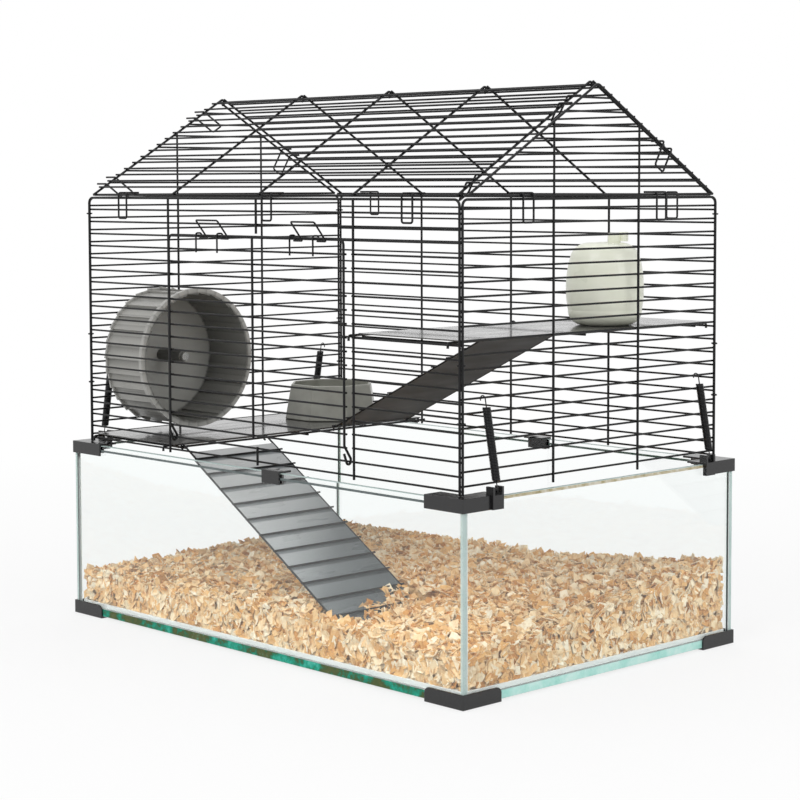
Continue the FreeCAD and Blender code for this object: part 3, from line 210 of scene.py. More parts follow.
# %% Material helpers
class Finish:
    """A Principled material and the few node chains that these finishes share."""

    def __init__(self, name, colour, roughness, **sockets):
        self.material = bpy.data.materials.new(name)
        self.material.use_nodes = True
        self.tree = self.material.node_tree
        self.shader = self.tree.nodes["Principled BSDF"]
        self.shader.inputs["Base Color"].default_value = (*colour, 1)
        self.shader.inputs["Roughness"].default_value = roughness
        for socket, number in sockets.items():
            self.shader.inputs[socket.replace("_", " ")].default_value = number
        self.coordinates = self.tree.nodes.new("ShaderNodeTexCoord").outputs["Object"]

    def add(self, kind, **settings):
        made = self.tree.nodes.new(kind)
        for name, number in settings.items():
            setattr(made, name, number)
        return made

    def join(self, start, end):
        self.tree.links.new(start, end)

    def grain(self, scale, detail=4.0, stretch=(1, 1, 1)):
        """Noise at so many bumps a metre, drawn out by stretch."""
        shaped = self.add("ShaderNodeMapping")
        shaped.inputs["Scale"].default_value = stretch
        cloud = self.add("ShaderNodeTexNoise")
        cloud.inputs["Scale"].default_value = scale
        cloud.inputs["Detail"].default_value = detail
        self.join(self.coordinates, shaped.inputs["Vector"])
        self.join(shaped.outputs[0], cloud.inputs["Vector"])
        return cloud.outputs["Fac"]

    def spread(self, source, low, high, first=0.3, last=0.7):
        """A number that runs from low to high as source runs from first to last."""
        ranged = self.add("ShaderNodeMapRange")
        for socket, number in zip(("From Min", "From Max", "To Min", "To Max"), (first, last, low, high)):
            ranged.inputs[socket].default_value = number
        self.join(source, ranged.inputs["Value"])
        return ranged.outputs[0]

    def tones(self, source, stops):
        """A colour ramp of (place, colour) stops."""
        ramp = self.add("ShaderNodeValToRGB")
        points = ramp.color_ramp.elements
        while len(points) < len(stops):
            points.new(0.5)
        for point, (spot, colour) in zip(points, stops):
            point.position = spot
            point.color = (*colour, 1)
        self.join(source, ramp.inputs["Fac"])
        return ramp.outputs["Color"]

    def colour(self, source):
        self.join(source, self.shader.inputs["Base Color"])

    def roughness(self, source):
        self.join(source, self.shader.inputs["Roughness"])

    def bump(self, source, depth, strength=1.0):
        raised = self.add("ShaderNodeBump")
        raised.inputs["Distance"].default_value = depth
        raised.inputs["Strength"].default_value = strength
        self.join(source, raised.inputs["Height"])
        self.join(raised.outputs[0], self.shader.inputs["Normal"])


# %% [markdown]
# Wire. The house is welded from steel wire dipped in black enamel: nearly black, half glossy, with
# a slightly uneven skin. Bump this fine hardly shows, so most of the look is the roughness.

# %% Wire enamel, spring steel and bright steel
wire_enamel = Finish("black_wire_enamel", (0.005, 0.005, 0.0055), 0.4, Specular_IOR_Level=0.25)
skin = wire_enamel.grain(700)
wire_enamel.roughness(wire_enamel.spread(skin, 0.3, 0.5))
wire_enamel.bump(skin, 0.00008, 0.4)

spring_coat = Finish("spring_wire_coat", (0.009, 0.009, 0.01), 0.4, Specular_IOR_Level=0.3)
skin = spring_coat.grain(900)
spring_coat.roughness(spring_coat.spread(skin, 0.25, 0.45))

steel = Finish("turned_steel", (0.6, 0.6, 0.58), 0.28, Metallic=1.0)
lathe = steel.grain(300, 3, (1, 8, 8))
steel.roughness(steel.spread(lathe, 0.2, 0.4))
steel.bump(lathe, 0.00005, 0.3)
print("metals:", [finish.material.name for finish in (wire_enamel, spring_coat, steel)])

# %% [markdown]
# Glass. Clear float glass has almost no colour through its 5 mm, but a long look along a pane is
# green: that is absorption inside the solid, so it goes in the volume and needs no painting.
# Lamps have to reach the shavings, so for shadow rays the surface turns transparent. The cut and
# ground edges scatter light instead, so they get mottled half-clear finishes of their own. The same
# kind of finish carries painted light: painted shade and a painted reflection along the rims, the
# base edge painted shaded green and lit aqua, and painted views of edges seen through a pane.

# %% Glass and silicone
glass = Finish("clear_float_glass", (1, 1, 1), 0.0, Transmission_Weight=1.0, IOR=1.46)
path = glass.add("ShaderNodeLightPath")
open_pane = glass.add("ShaderNodeBsdfTransparent")
either = glass.add("ShaderNodeMixShader")
glass.join(path.outputs["Is Shadow Ray"], either.inputs["Fac"])
glass.join(glass.shader.outputs[0], either.inputs[1])
glass.join(open_pane.outputs[0], either.inputs[2])
glass_out = glass.tree.nodes["Material Output"]
glass.join(either.outputs[0], glass_out.inputs["Surface"])
depth = glass.add("ShaderNodeVolumeAbsorption")
depth.inputs["Color"].default_value = (0.45, 0.92, 0.78, 1)
depth.inputs["Density"].default_value = 6.0
glass.join(depth.outputs[0], glass_out.inputs["Volume"])


def edge_and_painted_band_finish(name, stops, see_through, scale):
    """A mottled, partly see-through finish for ground edges and for painted bands of light and shade."""
    finish = Finish(name, stops[0][1], 0.35, Transmission_Weight=see_through, IOR=1.2)
    mottle = finish.grain(scale, 9)
    mottle.node.inputs["Roughness"].default_value = 0.72
    finish.colour(finish.tones(mottle, stops))
    finish.roughness(finish.spread(finish.grain(900, 2), 0.25, 0.45))
    return finish


# Pale is the ground edge and also the painted end bands; grey is painted rim shade, warm a painted rim
# reflection; green and aqua are the base edge with painted shade, light and reflections.
ground_edge_and_painted_band = edge_and_painted_band_finish("pale_ground_edge", ((0.3, (0.55, 0.7, 0.67)), (0.7, (0.7, 0.83, 0.8))), 0.25, 30)
painted_rim_shade = edge_and_painted_band_finish("shaded_polished_edge", ((0.3, (0.09, 0.11, 0.11)), (0.7, (0.17, 0.2, 0.2))), 0.1, 40)
painted_warm_rim = edge_and_painted_band_finish("warm_polished_edge", (
    (0.32, (0.2, 0.18, 0.07)), (0.45, (0.5, 0.43, 0.27)), (0.65, (0.72, 0.7, 0.62)),
), 0.1, 120)
shaded_base_edge_paint = edge_and_painted_band_finish("green_base_edge", (
    (0.34, (0.1, 0.52, 0.42)), (0.42, (0.02, 0.36, 0.25)), (0.48, (0.03, 0.2, 0.12)),
    (0.52, (0.07, 0.11, 0.04)), (0.6, (0.12, 0.13, 0.05)), (0.68, (0.06, 0.42, 0.31)),
), 0.0, 40)
lit_base_edge_paint = edge_and_painted_band_finish("aqua_base_edge", (
    (0.33, (0.24, 0.2, 0.08)), (0.37, (0.36, 0.74, 0.66)),
    (0.55, (0.58, 0.87, 0.81)), (0.72, (0.78, 0.94, 0.9)),
), 0.0, 30)
silicone = Finish("milky_silicone", (0.92, 0.95, 0.94), 0.35, Transmission_Weight=0.1, IOR=1.4)
skin = silicone.grain(400)
silicone.roughness(silicone.spread(skin, 0.3, 0.5))
silicone.bump(skin, 0.0002, 0.5)
print("glass density", depth.inputs["Density"].default_value)

# %% [markdown]
# Plastics. The corner guards are black injection mouldings with a fine matt texture. The boards are
# smooth dark sheet that mirrors the white around it, and the ramp that dips into the tank is slate
# with painted light: a painted sheen, pale at its head and dark at its foot, and a painted shadow
# below each rung. The wheel is a grey moulding with painted shade: its tone follows the distance
# from its axle, so the inside of the tread is painted shaded and the outside painted lit, and the
# cross ridges of the tread are painted dark lines round it.

# %% Plastics
guard_plastic = Finish("black_guard_plastic", (0.012, 0.012, 0.0125), 0.22)
pebble = guard_plastic.grain(1800, 2)
guard_plastic.roughness(guard_plastic.spread(pebble, 0.16, 0.28))
guard_plastic.bump(pebble, 0.00005, 0.2)

board_plastic = Finish("dark_board_plastic", (0.05, 0.05, 0.05), 0.2, Coat_Weight=0.4)
streak = board_plastic.grain(60, 3, (1, 0.25, 1))
board_plastic.colour(board_plastic.tones(streak, (
    (0.3, (0.035, 0.034, 0.033)),
    (0.7, (0.065, 0.064, 0.062)),
)))
board_plastic.roughness(board_plastic.spread(streak, 0.15, 0.28))

dull_plastic = Finish("dull_ramp_plastic", (0.07, 0.07, 0.068), 0.6, Specular_IOR_Level=0.2)
streak = dull_plastic.grain(60, 3, (1, 0.25, 1))
dull_plastic.colour(dull_plastic.tones(streak, ((0.3, (0.026, 0.025, 0.024)), (0.7, (0.042, 0.041, 0.039)))))
dull_plastic.roughness(dull_plastic.spread(streak, 0.5, 0.65))

# The ramp's colour is painted light: a painted sheen on a slant from a pale head to a dark foot, times a
# painted shadow just below each rung.
RAMP_HEAD = (-0.134, -0.1725, 0.196)
RAMP_FALL = math.radians(32)
RAMP_DOWN = Vector((math.cos(RAMP_FALL), 0, -math.sin(RAMP_FALL)))
RAMP_UP = Vector((math.sin(RAMP_FALL), 0, math.cos(RAMP_FALL)))
FIRST_RUNG, RUNG_PITCH, RUNG_SHADE = 0.0265, 0.025, 0.006
SHEEN_SLANT = 1.1
SHEEN_RUN = (0.1, 0.4)
ramp_plastic = Finish("slate_ramp_plastic", (0.2, 0.215, 0.215), 0.3)
from_head = ramp_plastic.add("ShaderNodeVectorMath", operation="SUBTRACT")
from_head.inputs[1].default_value = RAMP_HEAD
ramp_plastic.join(ramp_plastic.coordinates, from_head.inputs[0])
slant = ramp_plastic.add("ShaderNodeVectorMath", operation="DOT_PRODUCT")
slant.inputs[1].default_value = RAMP_DOWN + Vector((0, SHEEN_SLANT, 0))
ramp_plastic.join(from_head.outputs[0], slant.inputs[0])
sheen = ramp_plastic.tones(ramp_plastic.spread(slant.outputs["Value"], 0, 1, *SHEEN_RUN), (
    (0.0, (0.46, 0.47, 0.47)),
    (0.3, (0.36, 0.375, 0.38)),
    (0.55, (0.15, 0.165, 0.17)),
    (1.0, (0.075, 0.088, 0.092)),
))
down = ramp_plastic.add("ShaderNodeVectorMath", operation="DOT_PRODUCT")
down.inputs[1].default_value = RAMP_DOWN
ramp_plastic.join(from_head.outputs[0], down.inputs[0])
step = ramp_plastic.add("ShaderNodeMath", operation="WRAP")
step.inputs[1].default_value = FIRST_RUNG + RUNG_PITCH
step.inputs[2].default_value = FIRST_RUNG
ramp_plastic.join(down.outputs["Value"], step.inputs[0])
# Painted shadow of each rung, a few millimetres down the slope from it.
shade = ramp_plastic.tones(ramp_plastic.spread(step.outputs[0], 0, 1, FIRST_RUNG, FIRST_RUNG + RUNG_SHADE), (
    (0.0, (0.3, 0.32, 0.33)),
    (0.75, (0.36, 0.38, 0.39)),
    (1.0, (1, 1, 1)),
))
sheen_with_rung_shade = ramp_plastic.add("ShaderNodeMix", data_type="RGBA", blend_type="MULTIPLY")
sheen_with_rung_shade.inputs["Factor"].default_value = 1.0
ramp_plastic.join(sheen, sheen_with_rung_shade.inputs["A"])
ramp_plastic.join(shade, sheen_with_rung_shade.inputs["B"])
ramp_plastic.colour(sheen_with_rung_shade.outputs["Result"])
ramp_plastic.roughness(ramp_plastic.spread(ramp_plastic.grain(50, 3, (1, 0.2, 1)), 0.22, 0.36))

# The wheel's colour is painted shade and light, by distance from the axle: a dark painted ring on the inside
# of the tread and a lighter painted rim.
WHEEL_AXIS = (0, -0.095, 0.2802)
WHEEL_RADIUS = 0.076
TREAD_STEPS = 36
TREAD_INSIDE = (0.0665, 0.0675)
wheel_plastic = Finish("grey_wheel_plastic", (0.3, 0.3, 0.28), 0.3)
from_axis = wheel_plastic.add("ShaderNodeVectorMath", operation="SUBTRACT")
from_axis.inputs[1].default_value = WHEEL_AXIS
flat = wheel_plastic.add("ShaderNodeVectorMath", operation="MULTIPLY")
flat.inputs[1].default_value = (0, 1, 1)
reach = wheel_plastic.add("ShaderNodeVectorMath", operation="LENGTH")
wheel_plastic.join(wheel_plastic.coordinates, from_axis.inputs[0])
wheel_plastic.join(from_axis.outputs[0], flat.inputs[0])
wheel_plastic.join(flat.outputs[0], reach.inputs[0])
painted_inner_shade = wheel_plastic.tones(wheel_plastic.spread(reach.outputs["Value"], 0, 1, 0.0, WHEEL_RADIUS), (
    (0.0, (0.38, 0.378, 0.355)),
    (0.6, (0.43, 0.427, 0.4)),
    (0.88, (0.4, 0.397, 0.37)),
    (0.91, (0.17, 0.168, 0.155)),
    (0.935, (0.2, 0.198, 0.183)),
    (0.95, (0.4, 0.395, 0.37)),
    (1.0, (0.48, 0.475, 0.45)),
))
turned = wheel_plastic.add("ShaderNodeSeparateXYZ")
wheel_plastic.join(flat.outputs[0], turned.inputs[0])
around = wheel_plastic.add("ShaderNodeMath", operation="ARCTAN2")
wheel_plastic.join(turned.outputs["Y"], around.inputs[0])
wheel_plastic.join(turned.outputs["Z"], around.inputs[1])
tread = wheel_plastic.add("ShaderNodeMath", operation="WRAP")
tread.inputs[1].default_value = 2 * math.pi / TREAD_STEPS
tread.inputs[2].default_value = 0.0
wheel_plastic.join(around.outputs[0], tread.inputs[0])
# Painted shade lines at the cross ridges of the tread.
painted_ridge_shade = wheel_plastic.tones(wheel_plastic.spread(tread.outputs[0], 0, 1, 0, 2 * math.pi / TREAD_STEPS), (
    (0.0, (0.6, 0.6, 0.6)),
    (0.15, (1, 1, 1)),
    (0.8, (0.9, 0.9, 0.9)),
    (1.0, (0.75, 0.75, 0.75)),
))
at_tread = wheel_plastic.spread(reach.outputs["Value"], 0, 1, *TREAD_INSIDE)
painted_wheel_shade = wheel_plastic.add("ShaderNodeMix", data_type="RGBA", blend_type="MULTIPLY")
wheel_plastic.join(at_tread, painted_wheel_shade.inputs["Factor"])
wheel_plastic.join(painted_inner_shade, painted_wheel_shade.inputs["A"])
wheel_plastic.join(painted_ridge_shade, painted_wheel_shade.inputs["B"])
wheel_plastic.colour(painted_wheel_shade.outputs["Result"])
wheel_plastic.roughness(wheel_plastic.spread(wheel_plastic.grain(900, 2), 0.26, 0.38))

fitting_plastic = Finish("dark_fitting_plastic", (0.12, 0.12, 0.11), 0.4)
fitting_plastic.roughness(fitting_plastic.spread(fitting_plastic.grain(900, 2), 0.32, 0.5))
print("plastics: guard, board, ramp, wheel and fitting")

# %% [markdown]
# Glazed ware. The pot is pale cream green, the bowl warm grey; both have the soft shine and the
# gentle unevenness of a satin glaze.

# %% Glazes
pot_glaze = Finish("cream_pot_glaze", (0.88, 0.9, 0.76), 0.3, Coat_Weight=0.25)
cloud = pot_glaze.grain(35, 3)
pot_glaze.colour(pot_glaze.tones(cloud, ((0.3, (0.86, 0.88, 0.73)), (0.7, (0.92, 0.935, 0.8)))))
pot_glaze.roughness(pot_glaze.spread(cloud, 0.25, 0.38))
pot_glaze.bump(pot_glaze.grain(150, 2), 0.0002, 0.3)

bowl_glaze = Finish("grey_bowl_glaze", (0.31, 0.31, 0.27), 0.35, Coat_Weight=0.2)
cloud = bowl_glaze.grain(60, 3)
bowl_glaze.colour(bowl_glaze.tones(cloud, ((0.3, (0.27, 0.27, 0.235)), (0.7, (0.34, 0.34, 0.3)))))
bowl_glaze.roughness(bowl_glaze.spread(cloud, 0.28, 0.45))
print("glazes: pot and bowl")

# %% [markdown]
# The solids that already have the right shape stay, and only change their finish. A table of name
# endings is shorter than fifty assignments and shows at a glance what is made of what.

# %% Finishes on the solids
FINISH_OF = (
    ("_glass", glass),
    ("silicone_seams", silicone),
    ("_guard", guard_plastic),
    ("_rim_clip", guard_plastic),
    ("spring_catches", guard_plastic),
    ("lower_ramp_board", ramp_plastic),
    ("upper_ramp_board", dull_plastic),
    ("_board", board_plastic),
    ("wheel_drum", wheel_plastic),
    ("wheel_hub", fitting_plastic),
    ("wheel_mount", fitting_plastic),
    ("wheel_nut", fitting_plastic),
    ("wheel_axle", steel),
    ("wheel_screw", steel),
    ("food_bowl", bowl_glaze),
    ("hideout_pot", pot_glaze),
)
for name, solid in NODES.items():
    finish = next((finish for ending, finish in FINISH_OF if name.endswith(ending)), wire_enamel)
    solid.data.materials.clear()
    solid.data.materials.append(finish.material)
print("dressed solids:", len(NODES))

# %% [markdown]
# Every new piece ends the same way: its mesh is written, it rides on a body when it is given one,
# it names the slot it takes its finish from, and it may stand for a solid.


# %% Keeping a piece
BODY_OF = {node: body for body, members in frame["record"]["behaviour"]["bodies"].items() for node in members}


def keep(form, name, finish, body=None, stands_for=()):
    """Write a bmesh as a finished piece; with no body it is left unparented."""
    mesh = bpy.data.meshes.new(name)
    form.to_mesh(mesh)
    form.free()
    mesh.materials.append(finish.material)
    piece = bpy.data.objects.new(name, mesh)
    scene.collection.objects.link(piece)
    if body:
        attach(piece, body)
    if stands_for:
        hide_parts(*stands_for)
    return piece


# %% [markdown]
# Soft edges. Moulded guards, cut sheet and ground glass never have knife edges: a fine rounding
# catches a line of light. A copy of the solid is merged into clean faces, and its sharp edges are
# bevelled. The plain solid stays behind for collision, hidden.


# %% Rounded copies of sharp solids
SAME_SPOT = 1e-6
CORNERS = (("front_left", -1, -1), ("front_right", 1, -1), ("back_left", -1, 1), ("back_right", 1, 1))


def merged(node):
    """A copy of a solid with its seams joined and its flat faces whole."""
    form = bmesh.new()
    form.from_mesh(NODES[node].data)
    bmesh.ops.remove_doubles(form, verts=form.verts, dist=SAME_SPOT)
    bmesh.ops.dissolve_limit(
        form, angle_limit=math.radians(1), verts=form.verts, edges=form.edges, use_dissolve_boundaries=False
    )
    return form


def round_off(form, width, segments, sharp=30):
    """Bevel every edge that is sharper than so many degrees."""
    limit = math.radians(sharp)
    edges = [edge for edge in form.edges if len(edge.link_faces) == 2 and edge.calc_face_angle(0) > limit]
    bmesh.ops.bevel(
        form, geom=edges, offset=width, offset_type="OFFSET", affect="EDGES", segments=segments,
        profile=0.5, material=-1, clamp_overlap=True,
    )


def softened(node, width, segments=2, sharp=30):
    """Stand a copy of a solid with rounded edges in its place."""
    form = merged(node)
    round_off(form, width, segments, sharp)
    finish = next(finish for ending, finish in FINISH_OF if node.endswith(ending))
    piece = keep(form, "rounded_" + node, finish, BODY_OF[node], (node,))
    return len(piece.data.polygons)


for corner, _, _ in CORNERS:
    softened(corner + "_rim_guard", 0.5 * MM)
    softened(corner + "_foot_guard", 0.5 * MM)
for board in ("platform_board", "shelf_board", "lower_ramp_board", "upper_ramp_board"):
    softened(board, 0.3 * MM)
print("bowl faces", softened("food_bowl", 1.2 * MM, 3))

# %% [markdown]
# Panes. A pane is clear on its two broad faces and ground on its narrow ones. Seen at a slant, the
# polished rim also shows as a shaded line a few millimetres below the top, and the upright ends as
# pale bands. The edge of the base shows green or aqua through the foot of each pane. So the broad
# outer faces are cut along those lines, and the bands are painted: painted shade for the rim line,
# a painted reflection along the right pane's rim, a painted view of the end faces, and the base
# edge painted in at the foot.


# %% Glass panes with ground edges
END_BAND, FOOT_BAND, PANE_BEVEL = 3.2 * MM, 8.0 * MM, 0.4 * MM
SHADED_RIM, WARM_RIM = (4.2, 2.3), (0.4, 2.8)
EDGE_AND_PAINTED_END, RIM_LINE, FOOT_LINE = 1, 2, 3
SQUARE_ON = 0.99


def cut_along(form, axis, spot):
    """Cut all faces with a plane across one axis."""
    parts = form.verts[:] + form.edges[:] + form.faces[:]
    place = [0, 0, 0]
    place[axis] = spot
    across = [0, 0, 0]
    across[axis] = 1
    bmesh.ops.bisect_plane(form, geom=parts, plane_co=place, plane_no=across, dist=1e-7)


def pane(node, thin, shade, edge_and_painted_colours):
    """A bevelled pane; thin is its narrow axis and shade the painted rim band (drop, depth)."""
    low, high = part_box(node)
    form = merged(node)
    round_off(form, PANE_BEVEL, 2)
    along = 1 - thin
    drop, depth = shade
    foot = low.z + FOOT_BAND
    band_high, band_low = high.z - drop * MM, high.z - (drop + depth) * MM
    ends = (low[along] + END_BAND, high[along] - END_BAND)
    for level in (foot, band_low, band_high):
        cut_along(form, 2, level)
    for spot in ends:
        cut_along(form, along, spot)
    outside = 1 if low[thin] + high[thin] > 0 else -1
    # Narrow faces get the ground edge; the outer foot, rim and end bands get painted light and painted views
    # through the glass.
    for face in form.faces:
        spot = face.calc_center_median()
        broad = abs(face.normal[thin]) > SQUARE_ON
        outer = face.normal[thin] * outside > SQUARE_ON
        if not broad:
            face.material_index = EDGE_AND_PAINTED_END
        elif outer and spot.z < foot:
            face.material_index = FOOT_LINE
        elif outer and band_low < spot.z < band_high:
            face.material_index = RIM_LINE
        elif outer and thin == 1 and not ends[0] < spot[along] < ends[1]:
            face.material_index = EDGE_AND_PAINTED_END
    piece = keep(form, "ground_" + node, glass, BODY_OF[node], (node,))
    for finish in edge_and_painted_colours:
        piece.data.materials.append(finish.material)
    return len(piece.data.polygons)


for side in ("front", "back"):
    faces = pane(side + "_glass", 1, SHADED_RIM, (ground_edge_and_painted_band, painted_rim_shade, shaded_base_edge_paint))
pane("left_glass", 0, SHADED_RIM, (ground_edge_and_painted_band, painted_rim_shade, lit_base_edge_paint))
pane("right_glass", 0, WARM_RIM, (ground_edge_and_painted_band, painted_warm_rim, lit_base_edge_paint))

slab = merged("base_glass")
round_off(slab, PANE_BEVEL, 2)
# The base's edges are painted: shaded deep green where they face the long panes, lit aqua where they face the
# short ones, with painted reflections.
for face in slab.faces:
    if abs(face.normal.z) < 0.9:
        face.material_index = 1 if abs(face.normal.y) > abs(face.normal.x) else 2
base = keep(slab, "ground_base_glass", glass, "tank", ("base_glass",))
for finish in (shaded_base_edge_paint, lit_base_edge_paint):
    base.data.materials.append(finish.material)
print("pane faces", faces, "base faces", len(base.data.polygons))

# %% [markdown]
# Springs. Four extension springs hold the house down: close turns of wire with a hook at each end.
# A helix could be a curve, but a spin with a step along the axis winds a ring of wire directly:
# the small circle is swept round and pushed on by one pitch each turn. The hooks are spins too.

# %% Springs
SPRING_FOOT = Vector((301.15, 0, 194.88)) * MM
SPRING_HEAD = Vector((285.85, 0, 275.88)) * MM
SPRING_PLACE = 154 * MM
COIL_RADIUS, COIL_WIRE, COIL_LEAD, HOOK_RADIUS = 3.4 * MM, 1.25 * MM, 8.0 * MM, 3.1 * MM
RING_SIDES, TURN_STEPS, HOOK_STEPS = 8, 14, 18
TURN_SPACING, HOOK_THINNER, HOOK_TURN = 1.08, 0.9, math.radians(200)
spring_axis = (SPRING_HEAD - SPRING_FOOT).normalized()
spring_inward = Vector((-spring_axis.z, 0, spring_axis.x))
spring_side = Vector((0, 1, 0))


def wire_ring(form, centre, heading, thickness):
    """A small circle of wire that faces along heading."""
    turn = heading.to_track_quat("Z", "Y").to_matrix().to_4x4()
    place = Matrix.Translation(centre) @ turn
    made = bmesh.ops.create_circle(form, segments=RING_SIDES, radius=thickness / 2, matrix=place)
    ring = set(made["verts"])
    return [edge for edge in form.edges if edge.verts[0] in ring and edge.verts[1] in ring]


def swept(form, ring, **spin):
    bmesh.ops.spin(form, geom=ring, use_merge=False, use_duplicate=False, **spin)


def spring_form():
    """One spring at the right-hand end, in the plane y = 0."""
    form = bmesh.new()
    length = (SPRING_HEAD - SPRING_FOOT).length
    wound = length - 2 * COIL_LEAD
    turns = int(wound / (COIL_WIRE * TURN_SPACING))
    start = SPRING_FOOT + spring_axis * COIL_LEAD
    ring = wire_ring(form, start + spring_inward * COIL_RADIUS, spring_side, COIL_WIRE)
    step = spring_axis * (wound / (turns * TURN_STEPS))
    full = 2 * math.pi * turns
    swept(form, ring, cent=start, axis=-spring_axis, dvec=step, angle=full, steps=turns * TURN_STEPS)
    thin = COIL_WIRE * HOOK_THINNER
    for end, heading in ((SPRING_FOOT, spring_axis), (SPRING_HEAD, -spring_axis)):
        hook_centre = end + spring_inward * HOOK_RADIUS
        lead = wire_ring(form, end + heading * (COIL_LEAD + COIL_WIRE / 2), heading, thin)
        edges = bmesh.ops.extrude_edge_only(form, edges=lead)["geom"]
        moved = [part for part in edges if isinstance(part, bmesh.types.BMVert)]
        bmesh.ops.translate(form, verts=moved, vec=-heading * (COIL_LEAD + COIL_WIRE / 2))
        last = [part for part in edges if isinstance(part, bmesh.types.BMEdge)]
        around = spring_side if heading == spring_axis else -spring_side
        swept(form, last, cent=hook_centre, axis=around, dvec=(0, 0, 0), angle=HOOK_TURN, steps=HOOK_STEPS)
    bmesh.ops.holes_fill(form, edges=[edge for edge in form.edges if edge.is_boundary], sides=RING_SIDES)
    bmesh.ops.recalc_face_normals(form, faces=form.faces)
    return form, turns


for corner, side_x, side_y in CORNERS:
    form, turns = spring_form()
    if side_x < 0:
        bmesh.ops.rotate(form, verts=form.verts, cent=(0, 0, 0), matrix=Matrix.Rotation(math.pi, 3, "Z"))
    bmesh.ops.translate(form, verts=form.verts, vec=(0, side_y * SPRING_PLACE, 0))
    spring = keep(form, corner + "_coil", spring_coat, None, (corner + "_spring",))
    for face in spring.data.polygons:
        face.use_smooth = True
    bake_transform(spring)
print("spring turns", turns, "faces", len(spring.data.polygons))

# %% [markdown]
# Shavings. The bed is thousands of thin curled flakes of pale wood on a rough heap. The heap is a
# copy of the solid, cut fine, sunk a little and roughened. The flakes are a few bent chips made
# once, and Geometry Nodes strews them: points on the heap, a chip on each, turned at random.
# What would pass through the glass or the base is bent back from it, so nothing is pressed flat.

# %% Finish of the shavings
shavings = Finish("pine_shavings", (0.7, 0.48, 0.26), 0.75)
own = shavings.add("ShaderNodeNewGeometry").outputs["Random Per Island"]
wood = shavings.tones(own, (
    (0.0, (0.6, 0.27, 0.06)),
    (0.15, (0.8, 0.46, 0.16)),
    (0.4, (0.9, 0.62, 0.32)),
    (0.7, (0.96, 0.77, 0.5)),
    (1.0, (1.0, 0.91, 0.73)),
))
fibre = shavings.tones(shavings.grain(260, 3, (1, 1, 0.4)), (
    (0.3, (0.78, 0.62, 0.45)),
    (0.55, (1, 1, 1)),
))
fleck = shavings.add("ShaderNodeMix", data_type="RGBA", blend_type="MULTIPLY")
fleck.inputs["Factor"].default_value = 0.75
shavings.join(wood, fleck.inputs["A"])
shavings.join(fibre, fleck.inputs["B"])
shavings.colour(fleck.outputs["Result"])
shavings.bump(shavings.grain(500, 3), 0.0004, 0.6)

heap_finish = Finish("pine_dust", (0.45, 0.26, 0.11), 0.9)
lumps = heap_finish.grain(160, 4)
heap_finish.colour(heap_finish.tones(lumps, (
    (0.3, (0.55, 0.27, 0.08)),
    (0.45, (0.8, 0.5, 0.21)),
    (0.7, (0.92, 0.68, 0.4)),
)))
heap_finish.bump(lumps, 0.003)
print("shavings: flakes and dust")

# %% [markdown]
# A bead of silicone runs along the foot of every pane, where the base is glued in. It shows as a
# white line under the ragged edge of the shavings. A stretched cube with a soft edge is enough.

# %% Silicone beads
bed_low, bed_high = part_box("bedding")
BEAD_TOP = bed_low.z + 5.0 * MM
BEAD_WIDE, BEAD_IN, BEAD_SHORT = 2.0 * MM, 1.4 * MM, 5 * MM
for name, side_x, side_y in (("front", 0, -1), ("back", 0, 1), ("left", -1, 0), ("right", 1, 0)):
    bead = bmesh.new()
    long_x = BEAD_WIDE if side_x else 2 * bed_high.x - BEAD_SHORT
    long_y = BEAD_WIDE if side_y else 2 * bed_high.y - BEAD_SHORT
    size = Matrix.Diagonal((long_x, long_y, BEAD_TOP - bed_low.z, 1))
    half_way = (BEAD_TOP + bed_low.z) / 2
    spot = Vector((side_x * (bed_high.x - BEAD_IN), side_y * (bed_high.y - BEAD_IN), half_way))
    bmesh.ops.create_cube(bead, size=1.0, matrix=Matrix.Translation(spot) @ size)
    round_off(bead, 0.5 * MM, 2)
    keep(bead, name + "_bead", silicone, "tank")
print("beads: 4, top at", round(BEAD_TOP / MM, 1), "mm")

# %% [markdown]
# The heap under the flakes. The solid's faces are cut small first, so that its top can be pushed up
# and down a little. Remeshing then gives an even closed net, which is sunk to make room for flakes.

# %% Heap
def even_net(form, size):
    """The same body as a closed net of even squares, made by the Remesh modifier."""
    mesh = bpy.data.meshes.new("heap_net")
    form.to_mesh(mesh)
    form.free()
    bare = bpy.data.objects.new("heap_net", mesh)
    scene.collection.objects.link(bare)
    net = bare.modifiers.new("net", "REMESH")
    net.mode = "VOXEL"
    net.voxel_size = size
    bpy.context.view_layer.update()
    seen = bare.evaluated_get(bpy.context.evaluated_depsgraph_get())
    even = bmesh.new()
    even.from_mesh(seen.to_mesh())
    seen.to_mesh_clear()
    bpy.data.objects.remove(bare)
    return even


def bumps(spot, waves):
    """Noise at a spot, summed over waves of (height, bumps a metre)."""
    return sum(height * noise.noise(spot * scale) for height, scale in waves)


SINK, SIDE_SINK, ROUGHNESS = 3.0 * MM, 6.0 * MM, 1.5 * MM
NET_SIZE, CUT_LENGTH, CUT_LIMIT = 7 * MM, 14 * MM, 20000
UPRIGHT, ON_TOP, ON_RAMP = 0.3, 0.6, 0.99
LUMPS = ((3.0 * MM, 45), (1.5 * MM, 110))
CRUMBS = ((1.0, 60), (0.5, 160))
heap = bmesh.new()
heap.from_mesh(NODES["bedding"].data)
bmesh.ops.remove_doubles(heap, verts=heap.verts, dist=SAME_SPOT)
bmesh.ops.dissolve_limit(heap, angle_limit=math.radians(0.5), verts=heap.verts, edges=heap.edges)
bmesh.ops.triangulate(heap, faces=heap.faces)
while len(heap.faces) < CUT_LIMIT:
    longest = sorted(heap.edges, key=lambda edge: -edge.calc_length())
    cuts = [edge for edge in longest if edge.calc_length() > CUT_LENGTH]
    if not cuts:
        break
    bmesh.ops.subdivide_edges(heap, edges=cuts, cuts=1, use_grid_fill=False)
    bmesh.ops.triangulate(heap, faces=[face for face in heap.faces if len(face.verts) > 3])
heap.normal_update()
